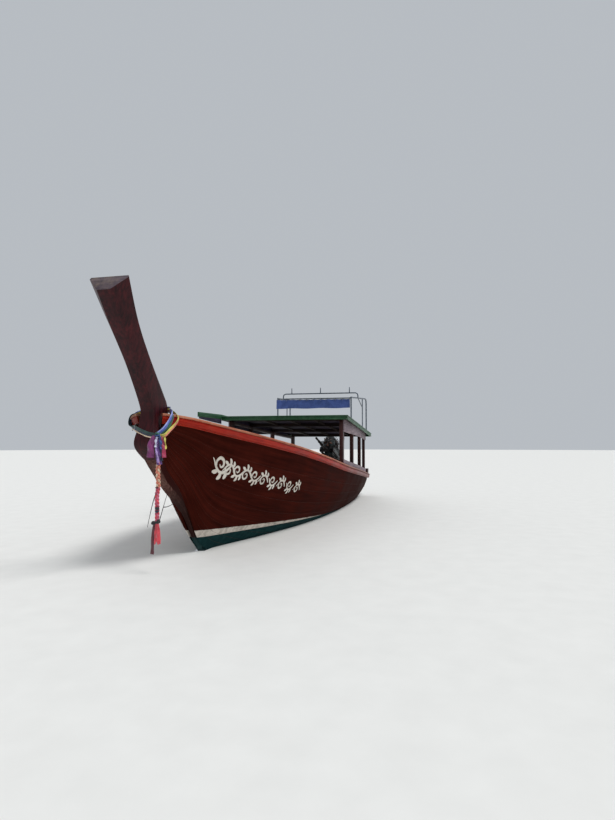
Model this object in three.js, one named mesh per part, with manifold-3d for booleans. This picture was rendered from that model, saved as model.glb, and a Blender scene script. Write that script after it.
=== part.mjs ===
// A wooden longtail boat: planked hull with a tall prow, a roofed passenger space and
// a swivelling engine on the stern that drives a propeller through a long shaft.
// Millimetres. +X is the bow, +Y is port, +Z is up, and the origin is on the waterline
// at the middle of the hull.

import * as THREE from 'three';
import { mergeVertices } from 'three/addons/utils/BufferGeometryUtils.js';
import Module from 'manifold-3d';

const wasm = await Module();
wasm.setup();

// Driving dimensions
const GAP = 0.35; // clearance kept between pieces that rest on each other
const PLANK = 32; // planking thickness
const RABBET = 75; // half width of stem and keel where the planks land
const INNER_STEM = 47; // half width of the stem behind the planks
const KEEL_DEPTH = 70;
const RAIL_THICK = 42;
const RAIL_DEPTH = 88;
const RAIL_TAIL = 0.03; // rail beyond the transom, as a share of the hull's stations
const CAP_WIDTH = 120;
const CAP_THICK = 26;
const RIB_DEPTH = 58;
const RIB_WIDTH = 0.0052; // along the hull, as a share of its stations
const SOLE_Z = -60;
const SOLE_THICK = 22;

const ROOF_FRONT_X = 20;
const ROOF_AFT_X = -4150;
const ROOF_FRONT_HALF = 1262;
const ROOF_AFT_HALF = 1108;
const ROOF_FRONT_Z = 1930; // top face at the front edge
const ROOF_SLOPE = 0.067; // fall towards the stern
const ROOF_THICK = 24;
const ROOF_LIP = 6; // the fascia stands this far over the boards
const ROOF_SEAM_X = -2400; // where the fore and aft roof boards meet
const FASCIA_DEPTH = 88;
const FASCIA_THICK = 20;
const HEADER_DEPTH = [282, 163]; // under the roof boards, at the front and aft posts
const BOARD_THICK = 20;
const BEAM_DEPTH = 66;
const BEAM_WIDTH = 46;
const SILL_HEIGHT = 98;
const POST_INSET = 60; // post centre inboard of the sheer line
const POSTS = [
  // x of the post's centre, its size along the boat
  [-160, 108],
  [-1300, 90],
  [-2660, 90],
  [-4070, 90],
];
const POST_X = POSTS.map(([x]) => x);
const POST_DEPTH = 70; // across the boat

const TUBE = 17; // radius of the roof rack tubes
const RACK = {
  frontX: -2550,
  frontHalf: 880,
  frontTop: 2450,
  hoopX: -3200,
  hoopTop: 2608,
  midX: -3650,
  aftX: -4060,
  aftHalf: 1000,
  aftTop: 2515,
};

const PIVOT = new THREE.Vector3(-4950, 0, 950); // where the tilt axle crosses the swivel
const ENGINE_SWING = THREE.MathUtils.degToRad(-4); // tiller a little to starboard
const ENGINE_TILT = THREE.MathUtils.degToRad(19); // shaft down into the water
const ENGINE_AHEAD = 270; // engine bed ahead of the tilt axle, to balance the long shaft
const SHAFT_LENGTH = 3600;
const SHAFT_RADIUS = 27;
const CRANK_Z = 120; // crankshaft above the tilt axle
const AXLE = 14; // radius of the tilt axle
const SWIVEL_PIN = 30; // radius of the swivel's upright pin
const PROPELLER_RADIUS = 150;

// Hull sections from the transom to the stem. Each is a quadratic curve from the keel
// through a bilge control point to the sheer.
const HULL = [
  // keelX, keelZ, bilgeY, bilgeZ, sheerX, sheerY, sheerZ
  [-4520, -205, 780, -160, -5300, 850, 540],
  [-3400, -290, 900, -260, -4000, 992, 632],
  [-1800, -330, 960, -300, -2100, 1142, 782],
  [-200, -340, 940, -300, -300, 1176, 948],
  [1200, -310, 780, -260, 1200, 1136, 1134],
  [2400, -240, 520, -150, 2500, 1010, 1308],
  [3300, -140, 280, 40, 3600, 792, 1457],
  [3900, -10, 130, 260, 4400, 566, 1570],
  [4330, 500, 80, 760, 4900, 390, 1649],
  [4850, 870, 80, 1080, 5140, 268, 1684],
  [5150, 1140, 90, 1400, 5262, 140, 1702],
];

const PAINT = {
  mahogany: ['#4a1812', 0.42, 0],
  prowWood: ['#43191a', 0.45, 0],
  orange: ['#b8391f', 0.4, 0],
  wornRail: ['#c28a70', 0.6, 0],
  bareWood: ['#7a5236', 0.7, 0],
  greyWood: ['#8c7f86', 0.7, 0],
  darkPost: ['#3a1c1a', 0.55, 0],
  green: ['#2d5a3d', 0.5, 0],
  steel: ['#aeb4b8', 0.3, 0.9],
  iron: ['#2a2c2e', 0.6, 0.6],
  engineGrey: ['#4b5a55', 0.5, 0.3],
  bronze: ['#9a7638', 0.35, 0.9],
  canvasBlue: ['#2c4f8c', 0.85, 0],
  cloth: ['#b03a62', 0.9, 0],
};

const boat = new THREE.Group();

function material(key) {
  const [color, roughness, metalness] = PAINT[key];
  return new THREE.MeshStandardMaterial({ color, roughness, metalness });
}

function addPiece(name, geometry, paint, parent = boat) {
  const mesh = new THREE.Mesh(geometry, material(paint));
  mesh.name = name;
  parent.add(mesh);
  return mesh;
}

// Solids and booleans

function closedGeometry(positions, index) {
  const raw = new THREE.BufferGeometry();
  raw.setAttribute('position', new THREE.Float32BufferAttribute(positions, 3));
  raw.setIndex(index);
  return pointOutward(mergeVertices(raw, 1e-3));
}

function signedVolume(geometry) {
  const p = geometry.attributes.position;
  const id = geometry.index.array;
  const [a, b, c] = [new THREE.Vector3(), new THREE.Vector3(), new THREE.Vector3()];
  let six = 0;
  for (let k = 0; k < id.length; k += 3) {
    a.fromBufferAttribute(p, id[k]);
    b.fromBufferAttribute(p, id[k + 1]);
    c.fromBufferAttribute(p, id[k + 2]);
    six += a.dot(b.cross(c));
  }
  return six / 6;
}

function pointOutward(geometry) {
  if (signedVolume(geometry) < 0) {
    const id = geometry.index.array;
    for (let k = 0; k < id.length; k += 3) {
      [id[k], id[k + 1]] = [id[k + 1], id[k]];
    }
  }
  return geometry;
}

function solidOf(geometry) {
  const bare = geometry.index ? geometry.clone() : mergeVertices(stripped(geometry), 1e-3);
  const merged = mergeVertices(stripped(bare), 1e-3);
  return new wasm.Manifold(
    new wasm.Mesh({
      numProp: 3,
      vertProperties: new Float32Array(merged.attributes.position.array),
      triVerts: new Uint32Array(merged.index.array),
    }),
  );
}

function stripped(geometry) {
  const bare = geometry.clone();
  bare.deleteAttribute('normal');
  bare.deleteAttribute('uv');
  return bare;
}

function geometryOf(solid) {
  const mesh = solid.getMesh();
  const geometry = new THREE.BufferGeometry();
  geometry.setAttribute('position', new THREE.Float32BufferAttribute(mesh.vertProperties, 3));
  geometry.setIndex(Array.from(mesh.triVerts));
  return geometry;
}

function union(...geometries) {
  return geometryOf(geometries.map(solidOf).reduce((sum, s) => sum.add(s)));
}

function cut(geometry, ...cutters) {
  return geometryOf(cutters.map(solidOf).reduce((left, s) => left.subtract(s), solidOf(geometry)));
}

// A closed slab between an outer and an inner grid of points.
function slab(outer, inner) {
  const rows = outer.length;
  const cols = outer[0].length;
  const positions = [];
  for (const grid of [outer, inner]) {
    for (const row of grid) {
      for (const p of row) positions.push(p.x, p.y, p.z);
    }
  }
  const index = [];
  const at = (face, i, j) => face * rows * cols + i * cols + j;
  const quad = (a, b, c, d) => index.push(a, b, c, a, c, d);
  for (let i = 0; i < rows - 1; i++) {
    for (let j = 0; j < cols - 1; j++) {
      quad(at(0, i, j), at(0, i, j + 1), at(0, i + 1, j + 1), at(0, i + 1, j));
      quad(at(1, i, j), at(1, i + 1, j), at(1, i + 1, j + 1), at(1, i, j + 1));
    }
    quad(at(0, i, 0), at(0, i + 1, 0), at(1, i + 1, 0), at(1, i, 0));
    const last = cols - 1;
    quad(at(0, i, last), at(1, i, last), at(1, i + 1, last), at(0, i + 1, last));
  }
  for (let j = 0; j < cols - 1; j++) {
    quad(at(0, 0, j), at(1, 0, j), at(1, 0, j + 1), at(0, 0, j + 1));
    const end = rows - 1;
    quad(at(0, end, j), at(0, end, j + 1), at(1, end, j + 1), at(1, end, j));
  }
  return closedGeometry(positions, index);
}

// A closed skin over rings of equal point count, with its two ends filled.
function skin(rings) {
  const n = rings[0].length;
  const positions = rings.flat().flatMap((p) => [p.x, p.y, p.z]);
  const index = [];
  for (let i = 0; i < rings.length - 1; i++) {
    const next = i + 1;
    for (let j = 0; j < n; j++) {
      const k = (j + 1) % n;
      index.push(i * n + j, i * n + k, next * n + k, i * n + j, next * n + k, next * n + j);
    }
  }
  const last = (rings.length - 1) * n;
  for (let j = 1; j < n - 1; j++) {
    index.push(0, j + 1, j, last, last + j, last + j + 1);
  }
  return closedGeometry(positions, index);
}

function vec(x, y, z) {
  return new THREE.Vector3(x, y, z);
}

// A box from its lowest and highest corner.
function boxBetween(low, high) {
  const g = new THREE.BoxGeometry(high[0] - low[0], high[1] - low[1], high[2] - low[2]);
  return g.translate((low[0] + high[0]) / 2, (low[1] + high[1]) / 2, (low[2] + high[2]) / 2);
}

function rod(from, to, radius, sides = 12, endRadius = radius) {
  const along = to.clone().sub(from);
  const g = new THREE.CylinderGeometry(endRadius, radius, along.length(), sides);
  const turn = new THREE.Quaternion().setFromUnitVectors(vec(0, 1, 0), along.clone().normalize());
  g.applyQuaternion(turn);
  const middle = from.clone().add(to).multiplyScalar(0.5);
  return g.translate(middle.x, middle.y, middle.z);
}

function roundShape(radius, sides) {
  const corners = Array.from({ length: sides }, (_, k) => {
    const a = (2 * Math.PI * k) / sides;
    return new THREE.Vector2(Math.cos(a) * radius, Math.sin(a) * radius);
  });
  return new THREE.Shape(corners);
}

function tubeAlong(path, radius, { sides = 10, steps = 40 } = {}) {
  const extrudePath = path;
  return new THREE.ExtrudeGeometry(roundShape(radius, sides), { steps, extrudePath, bevelEnabled: false });
}

// A round tube along straight legs with rounded corners.
function bentTube(points, radius, cornerRadius, { sides = 10, steps = 44 } = {}) {
  const path = new THREE.CurvePath();
  let start = points[0];
  for (let i = 1; i < points.length - 1; i++) {
    const corner = points[i];
    const back = points[i - 1].clone().sub(corner).normalize();
    const on = points[i + 1].clone().sub(corner).normalize();
    const enter = corner.clone().addScaledVector(back, cornerRadius);
    const leave = corner.clone().addScaledVector(on, cornerRadius);
    path.add(new THREE.LineCurve3(start, enter));
    path.add(new THREE.QuadraticBezierCurve3(enter, corner, leave));
    start = leave;
  }
  path.add(new THREE.LineCurve3(start, points[points.length - 1]));
  return tubeAlong(path, radius, { sides, steps });
}

function extrudeAlongY(outline, fromY, toY) {
  const shape = new THREE.Shape(outline.map(([x, z]) => new THREE.Vector2(x, z)));
  const g = new THREE.ExtrudeGeometry(shape, { depth: toY - fromY, bevelEnabled: false });
  return g.rotateX(Math.PI / 2).translate(0, toY, 0);
}

// Hull form

function hullRow(u) {
  const place = u * (HULL.length - 1);
  const i = Math.min(Math.floor(place), HULL.length - 2);
  const f = place - i;
  const at = (k) => HULL[Math.max(0, Math.min(HULL.length - 1, k))];
  return HULL[0].map((_, c) => {
    const [p0, p1, p2, p3] = [at(i - 1)[c], at(i)[c], at(i + 1)[c], at(i + 2)[c]];
    const m1 = (p2 - p0) / 2;
    const m2 = (p3 - p1) / 2;
    const f2 = f * f;
    const f3 = f2 * f;
    return (
      (2 * f3 - 3 * f2 + 1) * p1 + (f3 - 2 * f2 + f) * m1 + (-2 * f3 + 3 * f2) * p2 + (f3 - f2) * m2
    );
  });
}

// Point on the outside of the port planking; t runs from the keel (0) to the sheer (1).
function hullPoint(u, t) {
  const [keelX, keelZ, bilgeY, bilgeZ, sheerX, sheerY, sheerZ] = hullRow(u);
  const bilgeX = (keelX + sheerX) / 2;
  const [a, b, c] = [(1 - t) * (1 - t), 2 * t * (1 - t), t * t];
  return vec(
    a * keelX + b * bilgeX + c * sheerX,
    b * bilgeY + c * sheerY,
    a * keelZ + b * bilgeZ + c * sheerZ,
  );
}

function inwardNormal(u, t) {
  const step = 1e-3;
  const along = hullPoint(Math.min(1, u + step), t).sub(hullPoint(Math.max(0, u - step), t));
  const up = hullPoint(u, Math.min(1, t + step)).sub(hullPoint(u, Math.max(0, t - step)));
  const n = along.cross(up).normalize();
  return n.y > 0 ? n.negate() : n;
}

function bisect(low, high, tooHigh) {
  for (let k = 0; k < 30; k++) {
    const middle = (low + high) / 2;
    if (tooHigh(middle)) high = middle;
    else low = middle;
  }
  return (low + high) / 2;
}

// t where the planking leaves the stem or keel.
function rabbetT(u, halfWidth) {
  return bisect(0, 1, (t) => hullPoint(u, t).y > halfWidth);
}

// t of a height on the section: 0 is the rabbet, 1 the rub rail's lower edge, 2 the sheer.
function sectionT(u, height, rabbet = RABBET) {
  const t0 = rabbetT(u, rabbet);
  const top = hullPoint(u, 1);
  const rail = bisect(0, 1, (t) => hullPoint(u, t).distanceTo(top) < RAIL_DEPTH);
  return height <= 1 ? t0 + (rail - t0) * height : rail + (1 - rail) * (height - 1);
}

function skinPoint(u, t, inset, side, clearY) {
  const n = inwardNormal(u, t);
  if (t > 0.999) {
    // the top edge is level, so the inset runs along the horizontal
    n.z = 0;
    n.divideScalar(n.lengthSq());
  }
  const p = hullPoint(u, t).addScaledVector(n, inset);
  p.y = Math.max(p.y, clearY) * side;
  return p;
}

function spaced(from, to, count) {
  return Array.from({ length: count + 1 }, (_, k) => from + ((to - from) * k) / count);
}

// Planking: part of the hull surface between two insets from its outside, over a list
// of stations and a list of heights on the section.
function plank({ u, heights, inset, side, clearY = INNER_STEM, rabbet = RABBET }) {
  const grids = inset.map((depth) =>
    u.map((ui) => heights.map((h) => skinPoint(ui, sectionT(ui, h, rabbet), depth, side, clearY))),
  );
  return slab(grids[0], grids[1]);
}

// The cell of a rising list that holds a value, and how far along it the value lies.
function cell(list, value) {
  const above = list.findIndex((v) => v > value);
  const i = above < 0 ? list.length - 2 : Math.max(above - 1, 0);
  return [i, (value - list[i]) / (list[i + 1] - list[i])];
}

// The same kind of point on the planks' own flat facets, between their corners.
function facetPoint(u, height, inset, side) {
  const [i, f] = cell(PLANK_U, u);
  const [j, g] = cell(HEIGHTS, height);
  const corner = (a, b) => {
    const t = sectionT(PLANK_U[a], HEIGHTS[b]);
    return skinPoint(PLANK_U[a], t, inset, side, INNER_STEM);
  };
  const low = corner(i, j).lerp(corner(i, j + 1), g);
  const high = corner(i + 1, j).lerp(corner(i + 1, j + 1), g);
  return low.lerp(high, f);
}

// The rub rail's band, on the planks' own stations.
function sheerBand(u, heights, inset, side) {
  const grids = inset.map((d) => u.map((ui) => heights.map((h) => facetPoint(ui, h, d, side))));
  return slab(grids[0], grids[1]);
}

// A rib on the inside of the planks, at one station.
function ribBody(u, side, grow = 0) {
  const stations = [u - grow * 1e-4, u + RIB_WIDTH + grow * 1e-4];
  const grids = [PLANK + 5 - grow, PLANK + RIB_DEPTH + grow].map((depth) =>
    stations.map((ui) => RIB_HEIGHTS.map((h) => facetPoint(ui, h, depth, side))),
  );
  return slab(grids[0], grids[1]);
}

function uAtX(x, t) {
  return bisect(0, 1, (u) => hullPoint(u, t).x > x);
}

// Half breadth inside the hull at a place, this far in from the outside of the planks.
function innerHalf(x, z, inset) {
  const t = bisect(0, 1, (k) => hullPoint(uAtX(x, k), k).z > z);
  const u = uAtX(x, t);
  const n = inwardNormal(u, t);
  const flat = Math.hypot(n.y, n.x) || 1;
  return hullPoint(u, t).y - inset / Math.max(0.35, flat);
}

const SIDES = [
  ['port', 1],
  ['starboard', -1],
];

const PLANK_U = spaced(0.004, 0.985, 26);
const HEIGHTS = [0, 0.16, 0.32, 0.48, 0.64, 0.8, 1, 2];
const RIB_HEIGHTS = [...HEIGHTS.slice(0, 7), 1.6];
const RIB_U = spaced(0.06, 0.53, 10);
const RIB_LENGTHS = [
  { name: 'ribs_aft', from: 0, to: 4 },
  { name: 'ribs_middle', from: 4, to: 7 },
  { name: 'ribs_fore', from: 7, to: RIB_U.length },
];
const KEELSON_BUTT = 0.00002; // half the gap in a butt, as a share of the hull's stations
const SEAM = 0.0012;
const STRAKES = [
  // name, heights on the section
  ['bottom_planking', [SEAM, 0.16, 0.32, 0.48 - SEAM]],
  ['topside_planking', [0.48 + SEAM, 0.64, 0.8, 1, 2]],
];

function addPlanking() {
  for (const [sideName, side] of SIDES) {
    for (const [name, heights] of STRAKES) {
      addPiece(`${name}_${sideName}`, plank({ u: PLANK_U, heights, inset: [0, PLANK], side }), 'mahogany');
    }
  }
}

// Slightly oversize planking, taken out of whatever lands on it.
function plankingCutters(grow = 1.4) {
  const u = PLANK_U.map((ui, k) => ui + (k === 0 ? -0.003 : 0) + (k === 26 ? 0.0012 : 0));
  return SIDES.map(([, side]) =>
    plank({
      u,
      heights: [...HEIGHTS, 2.1],
      inset: [-60, PLANK + grow],
      side,
      clearY: INNER_STEM - grow,
      rabbet: RABBET - grow,
    }),
  );
}

const KEEL_U = spaced(0.002, 0.7, 16);

function addBackbone() {
  const cutters = plankingCutters();
  const keelRings = [];
  KEEL_U.forEach((u, i) => {
    const k = hullPoint(u, 0);
    const [low, high] = [k.z - KEEL_DEPTH * (1 - i / 16) - 8, k.z + 74];
    keelRings.push([
      vec(k.x, -38, low),
      vec(k.x, 38, low),
      vec(k.x, RABBET - 1, k.z + 4),
      vec(k.x, RABBET - 1, high),
      vec(k.x, 1 - RABBET, high),
      vec(k.x, 1 - RABBET, k.z + 4),
    ]);
  });
  addPiece('keel', cut(skin(keelRings), ...cutters), 'mahogany');

  const stemRings = [];
  for (let i = 0; i <= 15; i++) {
    const u = 0.7006 + (0.999 - 0.7006) * Math.min(1, i / 14);
    const ahead = hullPoint(Math.min(1, u + 0.01), 0).sub(hullPoint(u - 0.01, 0)).normalize();
    const lead = hullPoint(u, 0).addScaledVector(ahead, i > 14 ? STEM_HEAD : 0);
    const aft = vec(-ahead.z, 0, ahead.x);
    const edge = 12 + 62 * Math.min(1, i / 14);
    const ring = [
      [0, edge],
      [95, RABBET - 1],
      [210, RABBET - 1],
    ];
    const place = ([back, half], s) =>
      lead.clone().addScaledVector(aft, back).add(vec(0, half * s, 0));
    stemRings.push([
      ...ring.map((r) => place(r, 1)),
      ...ring.reverse().map((r) => place(r, -1)),
    ]);
  }
  const stemTop = boxBetween([4300, -400, PROW_HEEL_Z - GAP], [5800, 400, 2400]);
  const stemHeel = boxBetween([3000, -400, -900], [3900 + GAP, 400, 2000]);
  addPiece('stem', cut(skin(stemRings), stemTop, stemHeel, ...cutters), 'mahogany');
}

const PROW_HEEL_Z = 1232;
const STEM_HEAD = 150; // the stem runs on this far past the planks, up to the prow's heel

// Prow outline in the middle plane, with the half widths of its front and back faces.
const PROW = [
  // frontX, frontZ, frontHalf, backX, backZ, backHalf
  [5180, 1180, 66, 4960, 1180, 62],
  [5300, 1262, 90, 4975, 1300, 64],
  [5388, 1345, 108, 4990, 1420, 68],
  [5402, 1430, 110, 5000, 1550, 84],
  [5352, 1560, 96, 5010, 1690, 104],
  [5322, 1700, 84, 5060, 1830, 116],
  [5362, 1830, 78, 5180, 1960, 124],
  [5650, 2225, 75, 5560, 2345, 146],
  [5935, 2545, 75, 5835, 2655, 172],
  [6210, 2882, 76, 6100, 3036, 217],
];

function prowRings(extra = 0) {
  return PROW.map(([fx, fz, fh, bx, bz, bh]) => {
    const chamfer = 0.12;
    const front = vec(fx + extra, 0, fz);
    const back = vec(bx - extra, 0, bz);
    const at = (f, half) => {
      const p = front.clone().lerp(back, f);
      return vec(p.x, half + Math.sign(half) * extra, p.z);
    };
    const right = [at(0, fh), at(1 - chamfer, bh), at(1, bh - 10)];
    const left = [at(1, 10 - bh), at(1 - chamfer, -bh), at(0, -fh)];
    return [...right, ...left];
  });
}

function addProw() {
  const heel = boxBetween([4500, -400, 900], [5800, 400, PROW_HEEL_Z]);
  const rails = SIDES.flatMap(([, side]) => [railBody(side, GAP), capBody(side, GAP)]);
  const body = cut(skin(prowRings()), heel, ...plankingCutters(), ...rails);
  addPiece('prow', body, 'prowWood');
}

// The rails run past the last plank at both ends, and on beyond the transom.
function railStations(grow) {
  const ahead = 0.002 + grow * 2e-4;
  return [-RAIL_TAIL, ...PLANK_U.slice(0, -1), PLANK_U[PLANK_U.length - 1] + ahead];
}

function railBody(side, grow = 0) {
  const inset = [-RAIL_THICK - GAP - grow, -1.6 * GAP + grow];
  return sheerBand(railStations(grow), [1 - grow * 0.001, 2], inset, side);
}

// The sheer line, run on straight beyond the transom.
function sheerPoint(u) {
  if (u >= PLANK_U[0]) return hullPoint(u, 1);
  const [i, f] = cell(PLANK_U, u);
  return hullPoint(PLANK_U[i], 1).lerp(hullPoint(PLANK_U[i + 1], 1), f);
}

function capBody(side, grow = 0) {
  const grid = (z) =>
    railStations(grow).map((u) => {
      const p = sheerPoint(u);
      const n = inwardNormal(Math.max(u, PLANK_U[0]), 1).setZ(0).normalize();
      const edge = (d) => {
        const q = p.clone().addScaledVector(n, d);
        return vec(q.x, Math.max(q.y, INNER_STEM + 1) * side, p.z + z);
      };
      return [edge(-RAIL_THICK - 8 - grow), edge(CAP_WIDTH - RAIL_THICK - 8 + grow)];
    });
  return slab(grid(GAP + CAP_THICK + grow), grid(GAP - grow));
}

function addRails() {
  for (const [sideName, side] of SIDES) {
    addPiece(`rub_rail_${sideName}`, railBody(side), 'orange');
    addPiece(`cap_rail_${sideName}`, capBody(side), 'wornRail');
  }
}

function addTransom() {
  const inset = PLANK - 8;
  const half = [];
  const thick = 45;
  const foot = hullPoint(0.012, 0);
  const head = hullPoint(0.012, 1);
  for (let k = 0; k <= 10; k++) {
    const t0 = rabbetT(0.012, RABBET);
    const t = t0 + (1 - t0) * (k / 10);
    half.push(skinPoint(0.012, t, inset, 1, INNER_STEM + 2));
  }
  const plane = head.clone().sub(foot).setY(0).normalize();
  const keelTop = foot.z + 88;
  const outline = [
    vec(half[0].x, INNER_STEM, Math.max(half[0].z, keelTop)),
    ...half.slice(1).map((p) => vec(p.x, p.y, Math.max(p.z, keelTop + 2))),
  ];
  outline[outline.length - 1].z = head.z - 4;
  const ring = [...outline, ...outline.map((p) => vec(p.x, -p.y, p.z)).reverse()];
  const flat = ring.map((p) => {
    const up = (p.z - foot.z) / plane.z;
    return foot.clone().addScaledVector(plane, up).setY(p.y);
  });
  const rings = [flat, flat.map((p) => p.clone().add(vec(thick, 0, 0)))];
  addPiece('transom', cut(skin(rings), ...plankingCutters(0.45)), 'mahogany');
}

// The ribs are on three lengths of keelson, which butt midway between two ribs.
function addRibs() {
  const joints = RIB_LENGTHS.slice(1).map(({ from }) => (RIB_U[from - 1] + RIB_U[from] + RIB_WIDTH) / 2);
  const ends = [KEEL_U[1], ...joints, KEEL_U[13]];
  RIB_LENGTHS.forEach(({ name, from, to }, i) => {
    const parts = RIB_U.slice(from, to).flatMap((u) => SIDES.map(([, side]) => ribBody(u, side)));
    const [first, last] = [ends[i] + KEELSON_BUTT, ends[i + 1] - KEELSON_BUTT];
    const keelsonRings = [];
    const keelTop = [];
    for (const u of [first, ...KEEL_U.filter((k) => k > first && k < last), last]) {
      const k = hullPoint(u, 0);
      const across = (half, low, high) => [
        vec(k.x, -half, low),
        vec(k.x, half, low),
        vec(k.x, half, high),
        vec(k.x, -half, high),
      ];
      keelsonRings.push(across(112, k.z + 75.5, k.z + 100));
      keelTop.push(across(RABBET + GAP, k.z - 200, k.z + 75));
    }
    parts.push(cut(skin(keelsonRings), ...plankingCutters()));
    addPiece(name, cut(union(...parts), skin(keelTop)), 'bareWood');
  });
}

// A level or sloping deck whose edge follows the inside of the hull.
function deckPanel({ fromX, toX, z, thick, clear, rows = 10 }) {
  const low = [];
  const high = [];
  for (let i = 0; i <= rows; i++) {
    const x = fromX + ((toX - fromX) * i) / rows;
    const half = innerHalf(x, z(x) - thick, clear);
    const halfTop = innerHalf(x, z(x), clear);
    const edge = Math.min(half, halfTop);
    low.push([vec(x, edge, z(x) - thick), vec(x, -edge, z(x) - thick)]);
    high.push([vec(x, edge, z(x)), vec(x, -edge, z(x))]);
  }
  return slab(high, low);
}

const FOREDECK = { fromX: 3060, toX: 4900, thick: 24 };

function foredeckZ(x) {
  return 1150 + (x - FOREDECK.fromX) * 0.142;
}

function addDecks() {
  const notches = RIB_U.flatMap((u) => SIDES.map(([, side]) => ribBody(u, side, 0.4)));
  const fitted = (panel) => cut(deckPanel({ clear: PLANK + 18, ...panel }), ...notches);
  const sole = { fromX: -3900, toX: 2250, z: () => SOLE_Z, thick: SOLE_THICK };
  addPiece('sole_boards', fitted(sole), 'bareWood');
  const deck = deckPanel({ ...FOREDECK, z: foredeckZ, clear: PLANK - 6 });
  addPiece('aft_deck', fitted({ ...AFT_DECK, z: () => AFT_DECK.top, rows: 4 }), 'bareWood');

  const x = FOREDECK.fromX;
  const outline = [];
  const bottomZ = 60;
  for (let k = 0; k <= 8; k++) {
    const z = bottomZ + ((foredeckZ(x) - 3 - bottomZ) * k) / 8;
    outline.push([innerHalf(x, z, PLANK - 6), z]);
  }
  const ring = (px) => [
    ...outline.map(([y, z]) => vec(px, y, z)),
    ...[...outline].reverse().map(([y, z]) => vec(px, -y, z)),
  ];
  const whole = union(deck, skin([ring(x), ring(x + 19)]));
  addPiece('foredeck', cut(whole, ...plankingCutters(0.45)), 'bareWood');
}

const AFT_DECK = { fromX: -4700, toX: -3940, top: 330, thick: 26 };
const THWART_X = [1900, 900, -900, -1950];
const THWART_WIDTH = 290;

// The sheer as the planks have it, straight from station to station.
const SHEER = PLANK_U.map((u) => hullPoint(u, 1));

function onSheer(x, axis) {
  const [i, f] = cell(SHEER.map((p) => p.x), x);
  return SHEER[i][axis] + (SHEER[i + 1][axis] - SHEER[i][axis]) * f;
}

function sheerZ(x) {
  return onSheer(x, 'z');
}

function sheerY(x) {
  return onSheer(x, 'y');
}

function addThwarts() {
  const parts = THWART_X.flatMap((x) => {
    const top = sheerZ(x + THWART_WIDTH / 2) - 470;
    const clear = PLANK + RIB_DEPTH + 14;
    const plate = deckPanel({
      fromX: x - THWART_WIDTH / 2,
      toX: x + THWART_WIDTH / 2,
      z: () => top,
      thick: 34,
      clear,
      rows: 2,
    });
    const legs = [-1, 1].map((s) =>
      boxBetween(
        [x - 90, s * 260 - 22, SOLE_Z + GAP],
        [x + 90, s * 260 + 22, top - 20],
      ),
    );
    return [plate, ...legs];
  });
  const runners = [-1, 1].map((s) =>
    boxBetween(
      [THWART_X[3] - 120, s * 260 - 30, SOLE_Z + GAP],
      [THWART_X[0] + 120, s * 260 + 30, SOLE_Z + 34],
    ),
  );
  addPiece('thwarts', union(...runners, ...parts), 'bareWood');
}

function addMooringBitt() {
  const x = 4230;
  const deck = foredeckZ(x);
  const half = innerHalf(x, deck + 150, PLANK - 8);
  const beam = boxBetween([x - 45, -half, deck + 75], [x + 45, half, deck + 165]);
  const post = boxBetween([x - 50, -50, deck + GAP + 9], [x + 50, 50, deck + 350]);
  const cross = rod(vec(x, -150, deck + 270), vec(x, 150, deck + 270), 20, 10);
  addPiece('mooring_bitt', cut(union(beam, post, cross), ...plankingCutters(0.45)), 'darkPost');
}

// Roof and its framing

function roofZ(x) {
  return ROOF_FRONT_Z - (ROOF_FRONT_X - x) * ROOF_SLOPE;
}

function roofHalf(x) {
  const share = (ROOF_FRONT_X - x) / (ROOF_FRONT_X - ROOF_AFT_X);
  return ROOF_FRONT_HALF + (ROOF_AFT_HALF - ROOF_FRONT_HALF) * share;
}

// A board that lies across or along the roof, between two depths under its top face.
function roofBoard(fromX, toX, sideAt, depths, rows = 1) {
  const grid = (depth) => {
    const out = [];
    for (let i = 0; i <= rows; i++) {
      const x = fromX + ((toX - fromX) * i) / rows;
      const [a, b] = sideAt(x);
      out.push([vec(x, a, roofZ(x) - depth), vec(x, b, roofZ(x) - depth)]);
    }
    return out;
  };
  return slab(grid(depths[0]), grid(depths[1]));
}

function postY(x) {
  return sheerY(x) - POST_INSET;
}

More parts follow.
